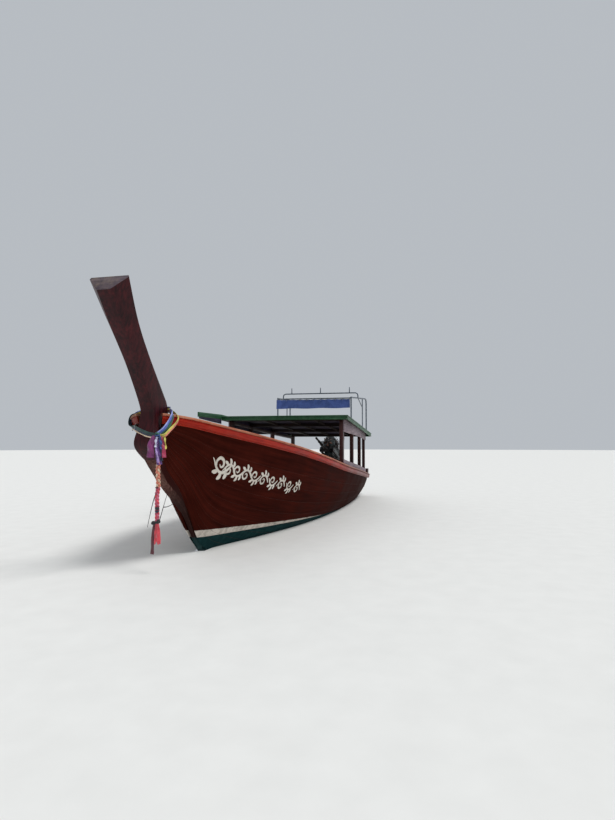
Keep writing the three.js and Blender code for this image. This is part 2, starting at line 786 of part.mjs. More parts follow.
function addRoof() {
  const edge = FASCIA_THICK + GAP;
  const inside = (x) => [roofHalf(x) - edge, edge - roofHalf(x)];
  const panels = [
    ['roof_panel_fore', ROOF_SEAM_X + GAP, ROOF_FRONT_X - edge],
    ['roof_panel_aft', ROOF_AFT_X + edge, ROOF_SEAM_X - GAP],
  ];
  for (const [name, fromX, toX] of panels) {
    addPiece(name, roofBoard(fromX, toX, inside, [ROOF_LIP, ROOF_THICK]), 'green');
  }

  const bottom = FASCIA_DEPTH;
  const sides = SIDES.map(([, s]) =>
    roofBoard(
      ROOF_AFT_X,
      ROOF_FRONT_X,
      (x) => [s * roofHalf(x), s * (roofHalf(x) - FASCIA_THICK)],
      [0, bottom],
    ),
  );
  const full = (x) => [roofHalf(x), -roofHalf(x)];
  const front = roofBoard(ROOF_FRONT_X - FASCIA_THICK, ROOF_FRONT_X, full, [0, bottom]);
  const aft = roofBoard(ROOF_AFT_X, ROOF_AFT_X + FASCIA_THICK, full, [0, bottom]);
  addPiece('roof_fascia', union(...sides, front, aft), 'green');

  const purlins = [-520, 0, 520].map((y) =>
    roofBoard(
      ROOF_AFT_X + 60,
      ROOF_FRONT_X - 60,
      () => [y + 22, y - 22],
      [ROOF_THICK + GAP, ROOF_THICK + 40],
    ),
  );
  const beams = POST_X.map((x) => {
    const end = postY(x) + POST_DEPTH / 2 - 8;
    return roofBoard(
      x - BEAM_WIDTH / 2,
      x + BEAM_WIDTH / 2,
      () => [end, -end],
      [ROOF_THICK + GAP, ROOF_THICK + BEAM_DEPTH],
    );
  });
  addPiece('roof_framing', union(...purlins, ...beams), 'bareWood');

  // A green board is fixed outside the starboard fascia and runs on level past the front.
  const outer = (x) => -roofHalf(Math.min(x, ROOF_FRONT_X)) - GAP;
  const boardTop = (x) => (x > ROOF_FRONT_X ? ROOF_FRONT_Z + 32 : roofZ(x) + 32);
  const rows = [-1400, ROOF_FRONT_X, 1110];
  const face = (y) => rows.map((x) => [boardTop(x) - 88, boardTop(x)].map((z) => vec(x, outer(x) - y, z)));
  addPiece('roof_edge_board', slab(face(0), face(30)), 'green');
}

function headerDepth(x) {
  const aft = (POST_X[0] - x) / (POST_X[0] - POST_X[3]);
  return HEADER_DEPTH[0] + (HEADER_DEPTH[1] - HEADER_DEPTH[0]) * aft;
}

function addSideFraming() {
  for (const [sideName, side] of SIDES) {
    const capTop = (x) => sheerZ(x) + GAP + CAP_THICK + GAP;
    const postBox = ([x, width]) => {
      const [w, h] = [width / 2, POST_DEPTH / 2];
      const corners = [
        [-w, -h],
        [w, -h],
        [w, h],
        [-w, h],
      ];
      const ring = (z) => corners.map(([dx, dy]) => vec(x + dx, (postY(x + dx) + dy) * side, z(x + dx)));
      const top = (at) => roofZ(at) - ROOF_THICK - BEAM_DEPTH - GAP;
      return skin([ring((at) => capTop(at) - 9), ring(top)]);
    };
    const plate = roofBoard(
      POST_X[3] - 30,
      POST_X[0] + 40,
      (x) => [side * (postY(x) - POST_DEPTH / 2 + 4), side * (postY(x) + POST_DEPTH / 2 - 4)],
      [ROOF_THICK + BEAM_DEPTH + GAP, ROOF_THICK + BEAM_DEPTH + 60],
      16,
    );
    const cap = capBody(side, GAP);
    addPiece(`posts_${sideName}`, cut(union(plate, ...POSTS.map(postBox)), cap), 'darkPost');

    const ends = [POST_X[3] - POSTS[3][1] / 2, POST_X[0] + POSTS[0][1] / 2];
    const stations = SHEER.map((p) => p.x).filter((x) => x > ends[0] + 20 && x < ends[1] - 20);
    const board = (depthAt) => {
      const grid = (pick) =>
        [ends[0], ...stations, ends[1]].map((x) => {
          const y = postY(x) + POST_DEPTH / 2 + 0.6 + pick;
          return depthAt(x).map((z) => vec(x, y * side, z));
        });
      return slab(grid(0), grid(BOARD_THICK));
    };
    addPiece(
      `header_board_${sideName}`,
      board((x) => [roofZ(x) - ROOF_THICK - headerDepth(x), roofZ(x) - ROOF_THICK - GAP]),
      'greyWood',
    );
    addPiece(
      `sill_board_${sideName}`,
      cut(board((x) => [capTop(x) - 9, capTop(x) + SILL_HEIGHT]), cap),
      'greyWood',
    );
  }
}

// Tubular rack over the after end of the roof

function addRack() {
  const share = (x) => (RACK.frontX - x) / (RACK.frontX - RACK.aftX);
  const y = (x) => RACK.frontHalf + (RACK.aftHalf - RACK.frontHalf) * share(x);
  const top = (x) => RACK.frontTop + (RACK.aftTop - RACK.frontTop) * share(x);
  const roofTop = (x) => roofZ(x) - ROOF_LIP;
  for (const [sideName, side] of SIDES) {
    const at = (x, z) => vec(x, y(x) * side, z);
    const flange = (x) => rod(at(x, roofTop(x) + 3.6), at(x, roofTop(x) + 14), 45, 12);
    const frame = bentTube(
      [
        at(RACK.frontX, top(RACK.frontX)),
        at(RACK.aftX, top(RACK.aftX)),
        at(RACK.aftX, roofTop(RACK.aftX) + 8),
      ],
      TUBE,
      130,
    );
    const legFoot = at(RACK.frontX, roofTop(RACK.frontX) + 8);
    const frontLeg = rod(legFoot, at(RACK.frontX, top(RACK.frontX) + TUBE), TUBE);
    const leg = rod(at(RACK.midX, roofTop(RACK.midX) + 8), at(RACK.midX, top(RACK.midX)), 13, 10);
    const brace = rod(at(RACK.hoopX, top(RACK.hoopX)), at(RACK.midX, top(RACK.midX) - 220), 11, 8);
    const flanges = [RACK.frontX, RACK.midX, RACK.aftX].map(flange);
    addPiece(`rack_side_${sideName}`, union(frame, frontLeg, leg, brace, ...flanges), 'steel');
  }

  const hoopHalf = y(RACK.hoopX);
  const seat = top(RACK.hoopX) + TUBE;
  const hoop = bentTube(
    [
      vec(RACK.hoopX, hoopHalf, seat + GAP + 0.5),
      vec(RACK.hoopX, hoopHalf, RACK.hoopTop),
      vec(RACK.hoopX, -hoopHalf, RACK.hoopTop),
      vec(RACK.hoopX, -hoopHalf, seat + GAP + 0.5),
    ],
    TUBE - 3,
    70,
  );
  const spikes = [-715, 10, 725].map((at) =>
    rod(vec(RACK.hoopX, at, RACK.hoopTop), vec(RACK.hoopX, at, RACK.hoopTop + 140), 13, 8, 9),
  );
  addPiece('rack_hoop', union(hoop, ...spikes), 'steel');

  const barHalf = RACK.frontHalf - TUBE - GAP;
  const barZ = RACK.frontTop - 12;
  const bar = rod(vec(RACK.frontX, -barHalf, barZ), vec(RACK.frontX, barHalf, barZ), 14, 10);
  addPiece('rack_bar', bar, 'steel');
  const canvas = boxBetween(
    [RACK.frontX - 3, -barHalf + 6, barZ - 233],
    [RACK.frontX + 3, barHalf - 6, barZ - 14 - GAP],
  );
  addPiece('rack_canvas', canvas, 'canvasBlue');
}

// Sashes tied round the prow

const KNOT = vec(5372, 160, 1477);
const KNOT_RADIUS = 46;
const SASH_RADIUS = 14;

function addSashes() {
  const portSide = [
    [5335, 220, 1550],
    [5288, 252, 1625],
    [5252, 268, 1685],
    [5212, 256, 1742],
    [5160, 208, 1768],
    [5100, 152, 1786],
    [5040, 122, 1802],
  ];
  const starboardSide = [
    [5030, -122, 1800],
    [5020, -230, 1768],
    [5030, -345, 1728],
    [5062, -392, 1684],
    [5098, -368, 1620],
    [5180, -268, 1584],
    [5280, -180, 1582],
    [5362, -124, 1574],
  ];
  const front = [
    [5412, 34, 1508],
    [5408, 104, 1492],
  ];
  const loop = [...portSide, [5012, 0, 1806], ...starboardSide, ...front];
  const tied = [KNOT, ...loop.map(([x, y, z]) => vec(x, y, z)), KNOT.clone().add(vec(0, 1, 0))];
  const path = new THREE.CatmullRomCurve3(tied, false, 'centripetal');
  const band = tubeAlong(path, SASH_RADIUS, { sides: 8, steps: 64 });
  const knot = (grow) =>
    new THREE.SphereGeometry(KNOT_RADIUS + grow, 12, 8).translate(KNOT.x, KNOT.y, KNOT.z);
  const rails = SIDES.flatMap(([, s]) => [capBody(s, GAP), railBody(s, GAP)]);
  const sash = cut(union(band, knot(0)), skin(prowRings(GAP)), ...rails, ...plankingCutters(0.45));
  addPiece('sash_band', sash, 'cloth');

  const tails = [
    // z, centre x, centre y, half width
    [1460, 5428, 165, 78],
    [1330, 5430, 166, 90],
    [1180, 5420, 180, 58],
    [1060, 5408, 184, 36],
    [860, 5404, 180, 32],
    [620, 5404, 180, 34],
    [520, 5404, 176, 46],
    [330, 5402, 160, 54],
    [210, 5400, 128, 26],
  ];
  const depth = 16;
  const rings = tails.map(([z, x, y, w]) =>
    [
      [depth, -w * 0.6],
      [depth, w * 0.6],
      [0, w],
      [-depth, w * 0.6],
      [-depth, -w * 0.6],
      [0, -w],
    ].map(([dx, dy]) => vec(x + dx, y + dy, z)),
  );
  addPiece('sash_tails', cut(skin(rings), skin(prowRings(GAP)), knot(GAP)), 'cloth');
}

// Engine, swivel and long shaft

const BEAM_X = PIVOT.x;
const BEAM_TOP = 735;

function addEngineBeam() {
  const half = sheerY(BEAM_X) + 20;
  const seat = sheerZ(BEAM_X - 70);
  const beam = boxBetween([BEAM_X - 70, -half, seat], [BEAM_X + 70, half, BEAM_TOP - 12]);
  const caps = SIDES.map(([, side]) => capBody(side, GAP));
  const rise = boxBetween([BEAM_X - 71, -half + 40, seat - 1], [BEAM_X + 71, half - 40, seat + 60]);
  addPiece('engine_beam', cut(beam, ...caps, ...plankingCutters(0.45), rise), 'darkPost');
  const flange = boxBetween([BEAM_X - 110, -150, BEAM_TOP - 12 + GAP], [BEAM_X + 110, 150, BEAM_TOP]);
  const socket = rod(vec(BEAM_X, 0, BEAM_TOP - 5), vec(BEAM_X, 0, BEAM_TOP + 50), 48, 20);
  const bore = rod(vec(BEAM_X, 0, BEAM_TOP + 1), vec(BEAM_X, 0, BEAM_TOP + 90), SWIVEL_PIN + 0.5, 24);
  addPiece('pivot_plate', cut(union(flange, socket), bore), 'iron');
}

function addSwivel(parent) {
  const pin = rod(vec(0, 0, BEAM_TOP + 1 + GAP - PIVOT.z), vec(0, 0, -95), SWIVEL_PIN, 24);
  const collar = rod(vec(0, 0, BEAM_TOP + 50 + GAP - PIVOT.z), vec(0, 0, -130), 52, 24);
  const bridge = boxBetween([-55, -214, -132], [55, 214, -108]);
  const ears = [-1, 1].map((s) =>
    extrudeAlongY(
      [
        [-55, -130],
        [55, -130],
        [38, 20],
        [20, 38],
        [-20, 38],
        [-38, 20],
      ],
      s > 0 ? 194 : -214,
      s > 0 ? 214 : -194,
    ),
  );
  const bores = rod(vec(0, -260, 0), vec(0, 260, 0), AXLE + 0.45, 24);
  addPiece('swivel_yoke', cut(union(pin, collar, bridge, ...ears), bores), 'iron', parent);
}

const CRADLE_FRONT = 830;

function addEngine(tilting) {
  const parent = new THREE.Group();
  parent.position.x = ENGINE_AHEAD;
  tilting.add(parent);

  // Cradle: two flat rails on a tilt axle, with a cross plate at each end
  const rails = [-1, 1].map((s) =>
    boxBetween([-60, s > 0 ? 152 : -188, -26], [CRADLE_FRONT, s > 0 ? 188 : -152, 26]),
  );
  const axle = rod(vec(0, -232, 0), vec(0, 232, 0), AXLE, 24);
  const crossAft = boxBetween([-60, -160, -26], [-36, 160, 26]);
  const crossFore = boxBetween([CRADLE_FRONT - 30, -160, -26], [CRADLE_FRONT, 160, 26]);
  addPiece('engine_cradle', union(...rails, axle, crossAft, crossFore), 'iron', tilting);

  const feetZ = 26 + GAP;
  const block = boxBetween([-170, -140, 58], [400, 140, 330]);
  const feet = [-120, 350].map((x) => boxBetween([x - 40, -186, feetZ], [x + 40, 186, 62]));
  const sump = boxBetween([50, -110, -60], [360, 110, 60]);
  const skirt = boxBetween([-176, -150, 150], [406, 150, 180]);
  const bell = rod(vec(-250, 0, CRANK_Z + 40), vec(-168, 0, CRANK_Z + 40), 165, 20, 178);
  const nose = rod(vec(-340, 0, CRANK_Z), vec(-240, 0, CRANK_Z), 74, 16, 100);
  const body = union(block, sump, skirt, bell, nose, ...feet);
  addPiece('engine_block', body, 'engineGrey', parent);

  const head = boxBetween([-160, -104, 330 + GAP], [390, 104, 418]);
  const cover = boxBetween([-140, -74, 414], [370, 74, 482]);
  const ports = [-90, 40, 170, 300].map((x) => rod(vec(x, 0, 480), vec(x, 0, 500), 20, 10));
  addPiece('cylinder_head', union(head, cover, ...ports), 'iron', parent);

  const pulley = rod(vec(406 + GAP, 0, CRANK_Z), vec(452, 0, CRANK_Z), 78, 18);
  const fanHub = rod(vec(406 + GAP, 0, 270), vec(470, 0, 270), 52, 14);
  const belt = boxBetween([422, -44, CRANK_Z], [446, 44, 270]);
  addPiece('front_pulleys', union(pulley, fanHub, belt), 'iron', parent);

  const alternator = rod(vec(240, 212, 215), vec(385, 212, 215), 60, 14);
  const bracket = boxBetween([280, 140 + GAP, 196], [340, 190, 236]);
  addPiece('alternator', union(alternator, bracket), 'steel', parent);

  const filter = rod(vec(-60, -232, 300), vec(200, -232, 300), 80, 16);
  const elbow = boxBetween([20, -180, 350], [110, -104 - GAP, 400]);
  addPiece('air_filter', union(filter, elbow), 'iron', parent);

  const manifold = boxBetween([-120, 104 + GAP, 346], [340, 150, 400]);
  const muffler = rod(vec(-60, 228, 420), vec(-60, 228, 560), 54, 14);
  const inlet = bentTube([vec(-60, 128, 372), vec(-60, 228, 372), vec(-60, 228, 450)], 20, 60, { steps: 8 });
  const outletPath = [vec(-60, 228, 550), vec(-60, 228, 650), vec(-170, 228, 700)];
  const outlet = bentTube(outletPath, 20, 60, { steps: 8 });
  addPiece('exhaust', union(manifold, muffler, inlet, outlet), 'iron', parent);

  // Tiller tube with its grip and throttle arm
  const grip = vec(1500, 0, -4);
  const shank = rod(vec(566, 0, 0), vec(1250, 0, 0), 21, 12);
  const clampPlate = boxBetween([560 + GAP, -70, -30], [580, 70, 34]);
  const handle = rod(vec(1240, 0, 0), grip, 26, 12);
  const stays = [-1, 1].map((s) => rod(vec(576, s * 60, 0), vec(820, s * 12, 6), 11, 8));
  addPiece('tiller', union(shank, clampPlate, handle, ...stays), 'iron', parent);

  // Shaft tube, its cavitation plate and skeg
  const shaftStart = ENGINE_AHEAD - 340 - GAP;
  const shaftEnd = -SHAFT_LENGTH;
  const tube = rod(vec(shaftEnd, 0, CRANK_Z), vec(shaftStart, 0, CRANK_Z), SHAFT_RADIUS, 14);
  const collar = rod(vec(shaftStart - 50, 0, CRANK_Z), vec(shaftStart, 0, CRANK_Z), 70, 16);
  const bearing = rod(vec(shaftEnd, 0, CRANK_Z), vec(shaftEnd + 160, 0, CRANK_Z), 48, 14);
  const skeg = extrudeAlongY(
    [
      [shaftEnd + 20, CRANK_Z - 40],
      [shaftEnd + 158, CRANK_Z - 40],
      [shaftEnd + 90, CRANK_Z - 235],
      [shaftEnd - 30, CRANK_Z - 250],
    ],
    -5,
    5,
  );
  addPiece('shaft_tube', union(tube, collar, bearing, skeg), 'iron', tilting);
}

function bladeGeometry(angle) {
  const stations = [
    // radius, half chord, half thickness, pitch in degrees
    [20, 34, 7, 44],
    [90, 56, 6, 32],
    [PROPELLER_RADIUS, 30, 4, 26],
  ];
  const rings = stations.map(([radius, half, thick, degrees]) => {
    const pitch = THREE.MathUtils.degToRad(degrees);
    const chord = vec(Math.sin(pitch), Math.cos(pitch), 0);
    const across = vec(Math.cos(pitch), -Math.sin(pitch), 0);
    const corners = [
      [-1, 0],
      [0, 1],
      [1, 0],
      [0, -1],
    ];
    return corners.map(([c, a]) =>
      vec(0, 0, radius).addScaledVector(chord, c * half).addScaledVector(across, a * thick),
    );
  });
  return skin(rings).rotateX(angle);
}

function addPropeller(parent) {
  const hub = new THREE.Group();
  hub.position.set(-SHAFT_LENGTH - 40, 0, CRANK_Z);
  parent.add(hub);
  const boss = rod(vec(-52, 0, 0), vec(40 - GAP, 0, 0), 26, 16, 38);
  const blades = [0, 1, 2].map((k) => bladeGeometry((2 * Math.PI * k) / 3));
  addPiece('propeller', union(boss, ...blades), 'bronze', hub);
}

addPlanking();
addBackbone();
addProw();
addRails();
addTransom();
addRibs();
addDecks();
addThwarts();
addMooringBitt();
addRoof();
addSideFraming();
addRack();
addSashes();
addEngineBeam();

const swivel = new THREE.Group();
swivel.position.copy(PIVOT);
swivel.rotation.z = ENGINE_SWING;
boat.add(swivel);
addSwivel(swivel);

const tilting = new THREE.Group();
tilting.rotation.y = -ENGINE_TILT;
swivel.add(tilting);
addEngine(tilting);
addPropeller(tilting);

export default boat;
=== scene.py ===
"""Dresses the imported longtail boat: timber, paint, cloth, rack and engine, in a pale studio."""
import logging
import math
import random
from collections.abc import Callable, Sequence
from dataclasses import dataclass
from enum import Enum

import bpy
from mathutils import Matrix, Vector


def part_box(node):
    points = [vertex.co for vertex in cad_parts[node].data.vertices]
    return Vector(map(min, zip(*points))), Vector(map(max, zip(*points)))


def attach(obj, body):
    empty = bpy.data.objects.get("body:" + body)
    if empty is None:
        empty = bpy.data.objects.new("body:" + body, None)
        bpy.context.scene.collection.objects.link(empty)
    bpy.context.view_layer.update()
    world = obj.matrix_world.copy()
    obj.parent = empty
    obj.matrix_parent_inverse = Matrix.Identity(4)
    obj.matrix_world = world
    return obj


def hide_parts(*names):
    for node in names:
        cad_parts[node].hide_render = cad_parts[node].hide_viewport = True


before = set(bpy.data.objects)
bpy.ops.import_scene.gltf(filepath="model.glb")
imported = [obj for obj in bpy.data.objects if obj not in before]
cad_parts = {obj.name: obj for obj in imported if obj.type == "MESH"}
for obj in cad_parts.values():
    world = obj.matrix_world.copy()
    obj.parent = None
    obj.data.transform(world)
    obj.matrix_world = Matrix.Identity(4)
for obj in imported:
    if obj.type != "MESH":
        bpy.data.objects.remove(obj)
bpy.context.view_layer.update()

log = logging.getLogger("longtail")
Tree = bpy.types.NodeTree
Socket = bpy.types.NodeSocket
SIDES = {"port": 1, "starboard": -1}
SEED = 41


# Colour and shader nodes


def linear(code: str) -> tuple[float, float, float, float]:
    """Turns an sRGB hex colour into linear RGBA.

    Args:
        code: six hex digits after a hash sign.

    Returns:
        Red, green, blue and alpha.
    """
    parts = [int(code[i:i + 2], 16) / 255 for i in (1, 3, 5)]
    lin = [c / 12.92 if c <= 0.04045 else ((c + 0.055) / 1.055) ** 2.4 for c in parts]
    return (*lin, 1.0)


def add_node(tree: Tree, kind: str, inputs: dict | None = None, stops: Sequence = (),
             **settings) -> bpy.types.Node:
    """Adds a shader node with its settings and links.

    Args:
        tree: the material's node tree.
        kind: the node's class name, without its leading ShaderNode.
        inputs: socket name or number to a value, or to an output socket to link.
        stops: a colour ramp's places and hex colours or grey levels.
        settings: the node's own attributes.

    Returns:
        The new node.
    """
    node = tree.nodes.new(f"ShaderNode{kind}")
    for name, value in settings.items():
        setattr(node, name, value)
    for name, value in (inputs or {}).items():
        if isinstance(value, Socket):
            tree.links.new(value, node.inputs[name])
        else:
            node.inputs[name].default_value = value
    if stops:
        elements = node.color_ramp.elements
        while len(elements) < len(stops):
            elements.new(0.5)
        for element, (place, shade) in zip(elements, stops):
            element.position = place
            element.color = linear(shade) if isinstance(shade, str) else (shade, shade, shade, 1)
    return node


def calc(tree: Tree, operation: str, *values: float | Socket, **settings) -> Socket:
    """Adds a sum to the shader.

    Args:
        tree: the material's node tree.
        operation: what is done with the values.
        values: numbers or sockets.
        settings: the node's own attributes.

    Returns:
        The result's socket.
    """
    return add_node(tree, "Math", dict(enumerate(values)), operation=operation, **settings).outputs[0]


def noise(tree: Tree, place: Socket, scale: float, detail: float = 2.0, roughness: float = 0.5,
          distortion: float = 0.0) -> Socket:
    """Adds a cloudy pattern.

    Args:
        tree: the material's node tree.
        place: the coordinates.
        scale: clouds to the metre.
        detail: how many finer layers it has.
        roughness: how strong the finer layers are.
        distortion: how far it is pulled about.

    Returns:
        The pattern's socket, about 0.5 in the middle.
    """
    return add_node(tree, "TexNoise", {"Vector": place, "Scale": scale, "Detail": detail,
                                       "Roughness": roughness, "Distortion": distortion}).outputs[0]


def between(tree: Tree, value: Socket, low: float, high: float, start: float = 0.0,
            end: float = 1.0) -> Socket:
    """Turns one range of values into another, held at its ends.

    Args:
        tree: the material's node tree.
        value: the value's socket.
        low: the value that gives the start.
        high: the value that gives the end.
        start: the result at the low value.
        end: the result at the high value.

    Returns:
        The result's socket.
    """
    return add_node(tree, "MapRange", {"Value": value, "From Min": low, "From Max": high,
                                       "To Min": start, "To Max": end}).outputs[0]


def blend(tree: Tree, share: Socket, under: Socket, over: Socket | str) -> Socket:
    """Lays one colour over another.

    Args:
        tree: the material's node tree.
        share: how much of the upper colour shows.
        under: the lower colour.
        over: the upper colour, as a socket or as hex.

    Returns:
        The mixed colour's socket.
    """
    over = linear(over) if isinstance(over, str) else over
    return add_node(tree, "Mix", {0: share, 6: under, 7: over}, data_type="RGBA").outputs[2]


def shaded(tree: Tree, colour: Socket, value: Socket) -> Socket:
    """Makes a colour lighter or darker by a factor and returns its socket."""
    return add_node(tree, "HueSaturation", {"Color": colour, "Value": value}).outputs[0]


class Grain(Enum):
    """The way a board's grain runs: a row axis, or along the piece's own map."""

    ALONG = "along"
    ACROSS = "across"
    UPRIGHT = "upright"
    MAPPED = "mapped"


STRETCH = {
    Grain.ALONG: (0.05, 1.0, 1.0),
    Grain.ACROSS: (1.0, 0.05, 1.0),
    Grain.UPRIGHT: (1.0, 1.0, 0.05),
    Grain.MAPPED: (0.05, 1.0, 1.0),
}


@dataclass(frozen=True)
class Finish:
    """A finish that a piece can wear."""

    name: str

    def make(self) -> bpy.types.Material:
        """Returns the material, made on first use."""
        found = bpy.data.materials.get(self.name)
        if found:
            return found
        material = bpy.data.materials.new(self.name)
        material.use_nodes = True
        material.node_tree.nodes.clear()
        shader = self.paint(material.node_tree)
        add_node(material.node_tree, "OutputMaterial", {"Surface": shader.outputs[0]})
        return material

    def paint(self, tree: Tree) -> bpy.types.Node:
        """Fills the node tree.

        Args:
            tree: the empty node tree.

        Returns:
            The surface shader.
        """
        raise NotImplementedError


def edge_mask(tree: Tree, radius: float) -> Socket:
    """A mask that rises where a surface turns sharply.

    Args:
        tree: the node tree.
        radius: how far from the corner it reaches, in metres.

    Returns:
        The mask's socket, 0 on flats.
    """
    rounded = add_node(tree, "Bevel", {"Radius": radius}, samples=4)
    flat = add_node(tree, "NewGeometry")
    same = add_node(tree, "VectorMath", {0: rounded.outputs[0], 1: flat.outputs["Normal"]},
                    operation="DOT_PRODUCT")
    return between(tree, same.outputs["Value"], 0.995, 0.9)


@dataclass(frozen=True)
class TimberFinish(Finish):
    """Sawn hardwood under oil, varnish or brushed paint, worn at its edges."""

    deep: str = "#1f0a08"
    body: str = "#3d140f"
    pale: str = "#5a2318"
    worn: str = "#7a5236"
    grain: Grain = Grain.ALONG
    grain_width: float = 0.022  # metres across one figure of the grain
    contrast: float = 1.0
    roughness: float = 0.42
    coat: float = 0.0
    edge_wear: float = 0.35
    relief: float = 0.5
    fading: float = 0.0  # share of sun-bleached patches
    boot_top: bool = False  # the painted bottom
    white_line: bool = True  # the line above it
    foot: str = ""  # what wet and weed have made of the colour near the water
    boards: float = 0.0  # the width of the boards that a deck is laid from
    flank: str = ""  # the planks' varnish, carried on over the sides of the stem
    flank_half: float = 0.030  # half the width left bare at the water, wider further up
    gloss: float = 0.5  # reflection at the front, 0.5 for a full varnish
    stern_colour: str = ""  # the colour that it turns to towards the stern

    def paint(self, tree: Tree) -> bpy.types.Node:
        """Paints grain, faded patches, worn edges and fine relief.

        Args:
            tree: the empty node tree.

        Returns:
            The surface shader.
        """
        place = add_node(tree, "TexCoord").outputs["Object"]
        axes = add_node(tree, "SeparateXYZ", {0: place}).outputs
        along = place
        if self.grain is Grain.MAPPED:
            along = add_node(tree, "UVMap", uv_map="grain").outputs[0]
        run = add_node(tree, "Mapping", {"Vector": along, "Scale": STRETCH[self.grain]}).outputs[0]
        figure = noise(tree, run, 1 / self.grain_width, 7.0, 0.62, 0.5)
        # pores: hair lines about 2 mm apart, drawn a little coarse so that they show
        pores = noise(tree, run, 420.0)
        patch = noise(tree, place, 1.7, 5.0, 0.6)
        tone = calc(tree, "MULTIPLY_ADD", patch, 0.38, calc(tree, "MULTIPLY", figure, 0.62))
        spread = 0.13 / self.contrast
        colour = add_node(tree, "ValToRGB", {0: tone}, stops=[
            (0.5 - spread, self.deep), (0.5, self.body), (0.5 + spread, self.pale)]).outputs[0]
        # each board has its own tone from the builder's attribute, which also paints shade on starboard rail
        # ends
        board = add_node(tree, "Attribute", attribute_name="board_tone").outputs["Fac"]
        colour = shaded(tree, colour, calc(tree, "MULTIPLY_ADD", board, 0.45, 1.0))
        if self.boards:
            colour = self.deck_seams(tree, axes[1], colour)
        if self.fading:
            sun = noise(tree, place, 5.5, 8.0, 0.7)
            colour = blend(tree, between(tree, sun, 0.48, 0.72, end=self.fading), colour, self.worn)
        if self.stern_colour:
            aft = calc(tree, "MULTIPLY_ADD", patch, 2.5, axes[0])
            colour = blend(tree, between(tree, aft, 2.6, -0.6, end=0.85), colour, self.stern_colour)
        if self.flank:
            # the bare strip widens upwards by 31 mm a metre
            half = calc(tree, "MULTIPLY_ADD", axes[2], -0.031, calc(tree, "ABSOLUTE", axes[1]))
            brush = calc(tree, "MULTIPLY_ADD", patch, 0.012, half)
            share = between(tree, brush, self.flank_half + 0.006, self.flank_half + 0.008)
            colour = blend(tree, share, colour, self.flank)
        if self.foot:
            up = calc(tree, "MULTIPLY_ADD", patch, 0.7, axes[2])
            colour = blend(tree, between(tree, up, 1.35, 0.85, end=0.92), colour, self.foot)
        if self.boot_top:
            colour = self.bottom_paint(tree, place, axes, colour)
        ragged = between(tree, noise(tree, place, 55.0, 6.0, 0.7), 0.42, 0.6, end=self.edge_wear)
        rubbed = calc(tree, "MULTIPLY", edge_mask(tree, 0.006), ragged, use_clamp=True)
        colour = blend(tree, rubbed, colour, self.worn)
        dull = between(tree, patch, 0.3, 0.7, self.roughness - 0.08, self.roughness + 0.12)
        height = calc(tree, "MULTIPLY_ADD", pores, 0.35, figure)
        bump = add_node(tree, "Bump", {"Height": height, "Strength": self.relief, "Distance": 0.0012})
        return add_node(tree, "BsdfPrincipled", {
            "Base Color": colour, "Roughness": dull, "Normal": bump.outputs[0],
            "Specular IOR Level": self.gloss, "Coat Weight": self.coat, "Coat Roughness": 0.16})

    def deck_seams(self, tree: Tree, across: Socket, colour: Socket) -> Socket:
        """Boards side by side, each in its own tone, with a dark seam between.

        Args:
            tree: the node tree.
            across: the place across the boat.
            colour: the wood's colour.

        Returns:
            The colour with the seams.
        """
        count = calc(tree, "MULTIPLY", across, 1 / self.boards)
        which = calc(tree, "FLOOR", count)
        each = add_node(tree, "TexWhiteNoise", {"W": which}, noise_dimensions="1D").outputs[0]
        colour = shaded(tree, colour, calc(tree, "MULTIPLY_ADD", each, 0.42, 0.78))
        off = calc(tree, "SUBTRACT", calc(tree, "WRAP", count, 1.0, 0.0), 0.5)
        seam = 0.5 - 0.003 / self.boards
        share = between(tree, calc(tree, "ABSOLUTE", off), seam, seam + 0.008, end=0.85)
        return blend(tree, share, colour, "#120c09")

    def bottom_paint(self, tree: Tree, place: Socket, axes: Sequence[Socket], colour: Socket) -> Socket:
        """Dark teal bottom paint below a white line that tapers out towards the stern.

        Args:
            tree: the node tree.
            place: the object coordinates.
            axes: their three parts.
            colour: the topside colour.

        Returns:
            The colour with the bottom painted.
        """
        brush = noise(tree, place, 14.0, 5.0)
        edge = calc(tree, "MULTIPLY_ADD", brush, 0.012, axes[2])
        coats = (
            # rise of the edge to the metre, its height amidships, paint, stained paint
            (0.0565, 0.068, "#d4cbc0", "#988f84"),
            (0.033, 0.071, "#163032", "#234242"),
        )
        for rise, start, fresh, stained in coats if self.white_line else coats[1:]:
            gap = calc(tree, "SUBTRACT", calc(tree, "MULTIPLY_ADD", axes[0], rise, start), edge)
            paint = add_node(tree, "ValToRGB", {0: brush}, stops=[(0.4, fresh), (0.8, stained)])
            colour = blend(tree, between(tree, gap, -0.001, 0.001), colour, paint.outputs[0])
        return colour


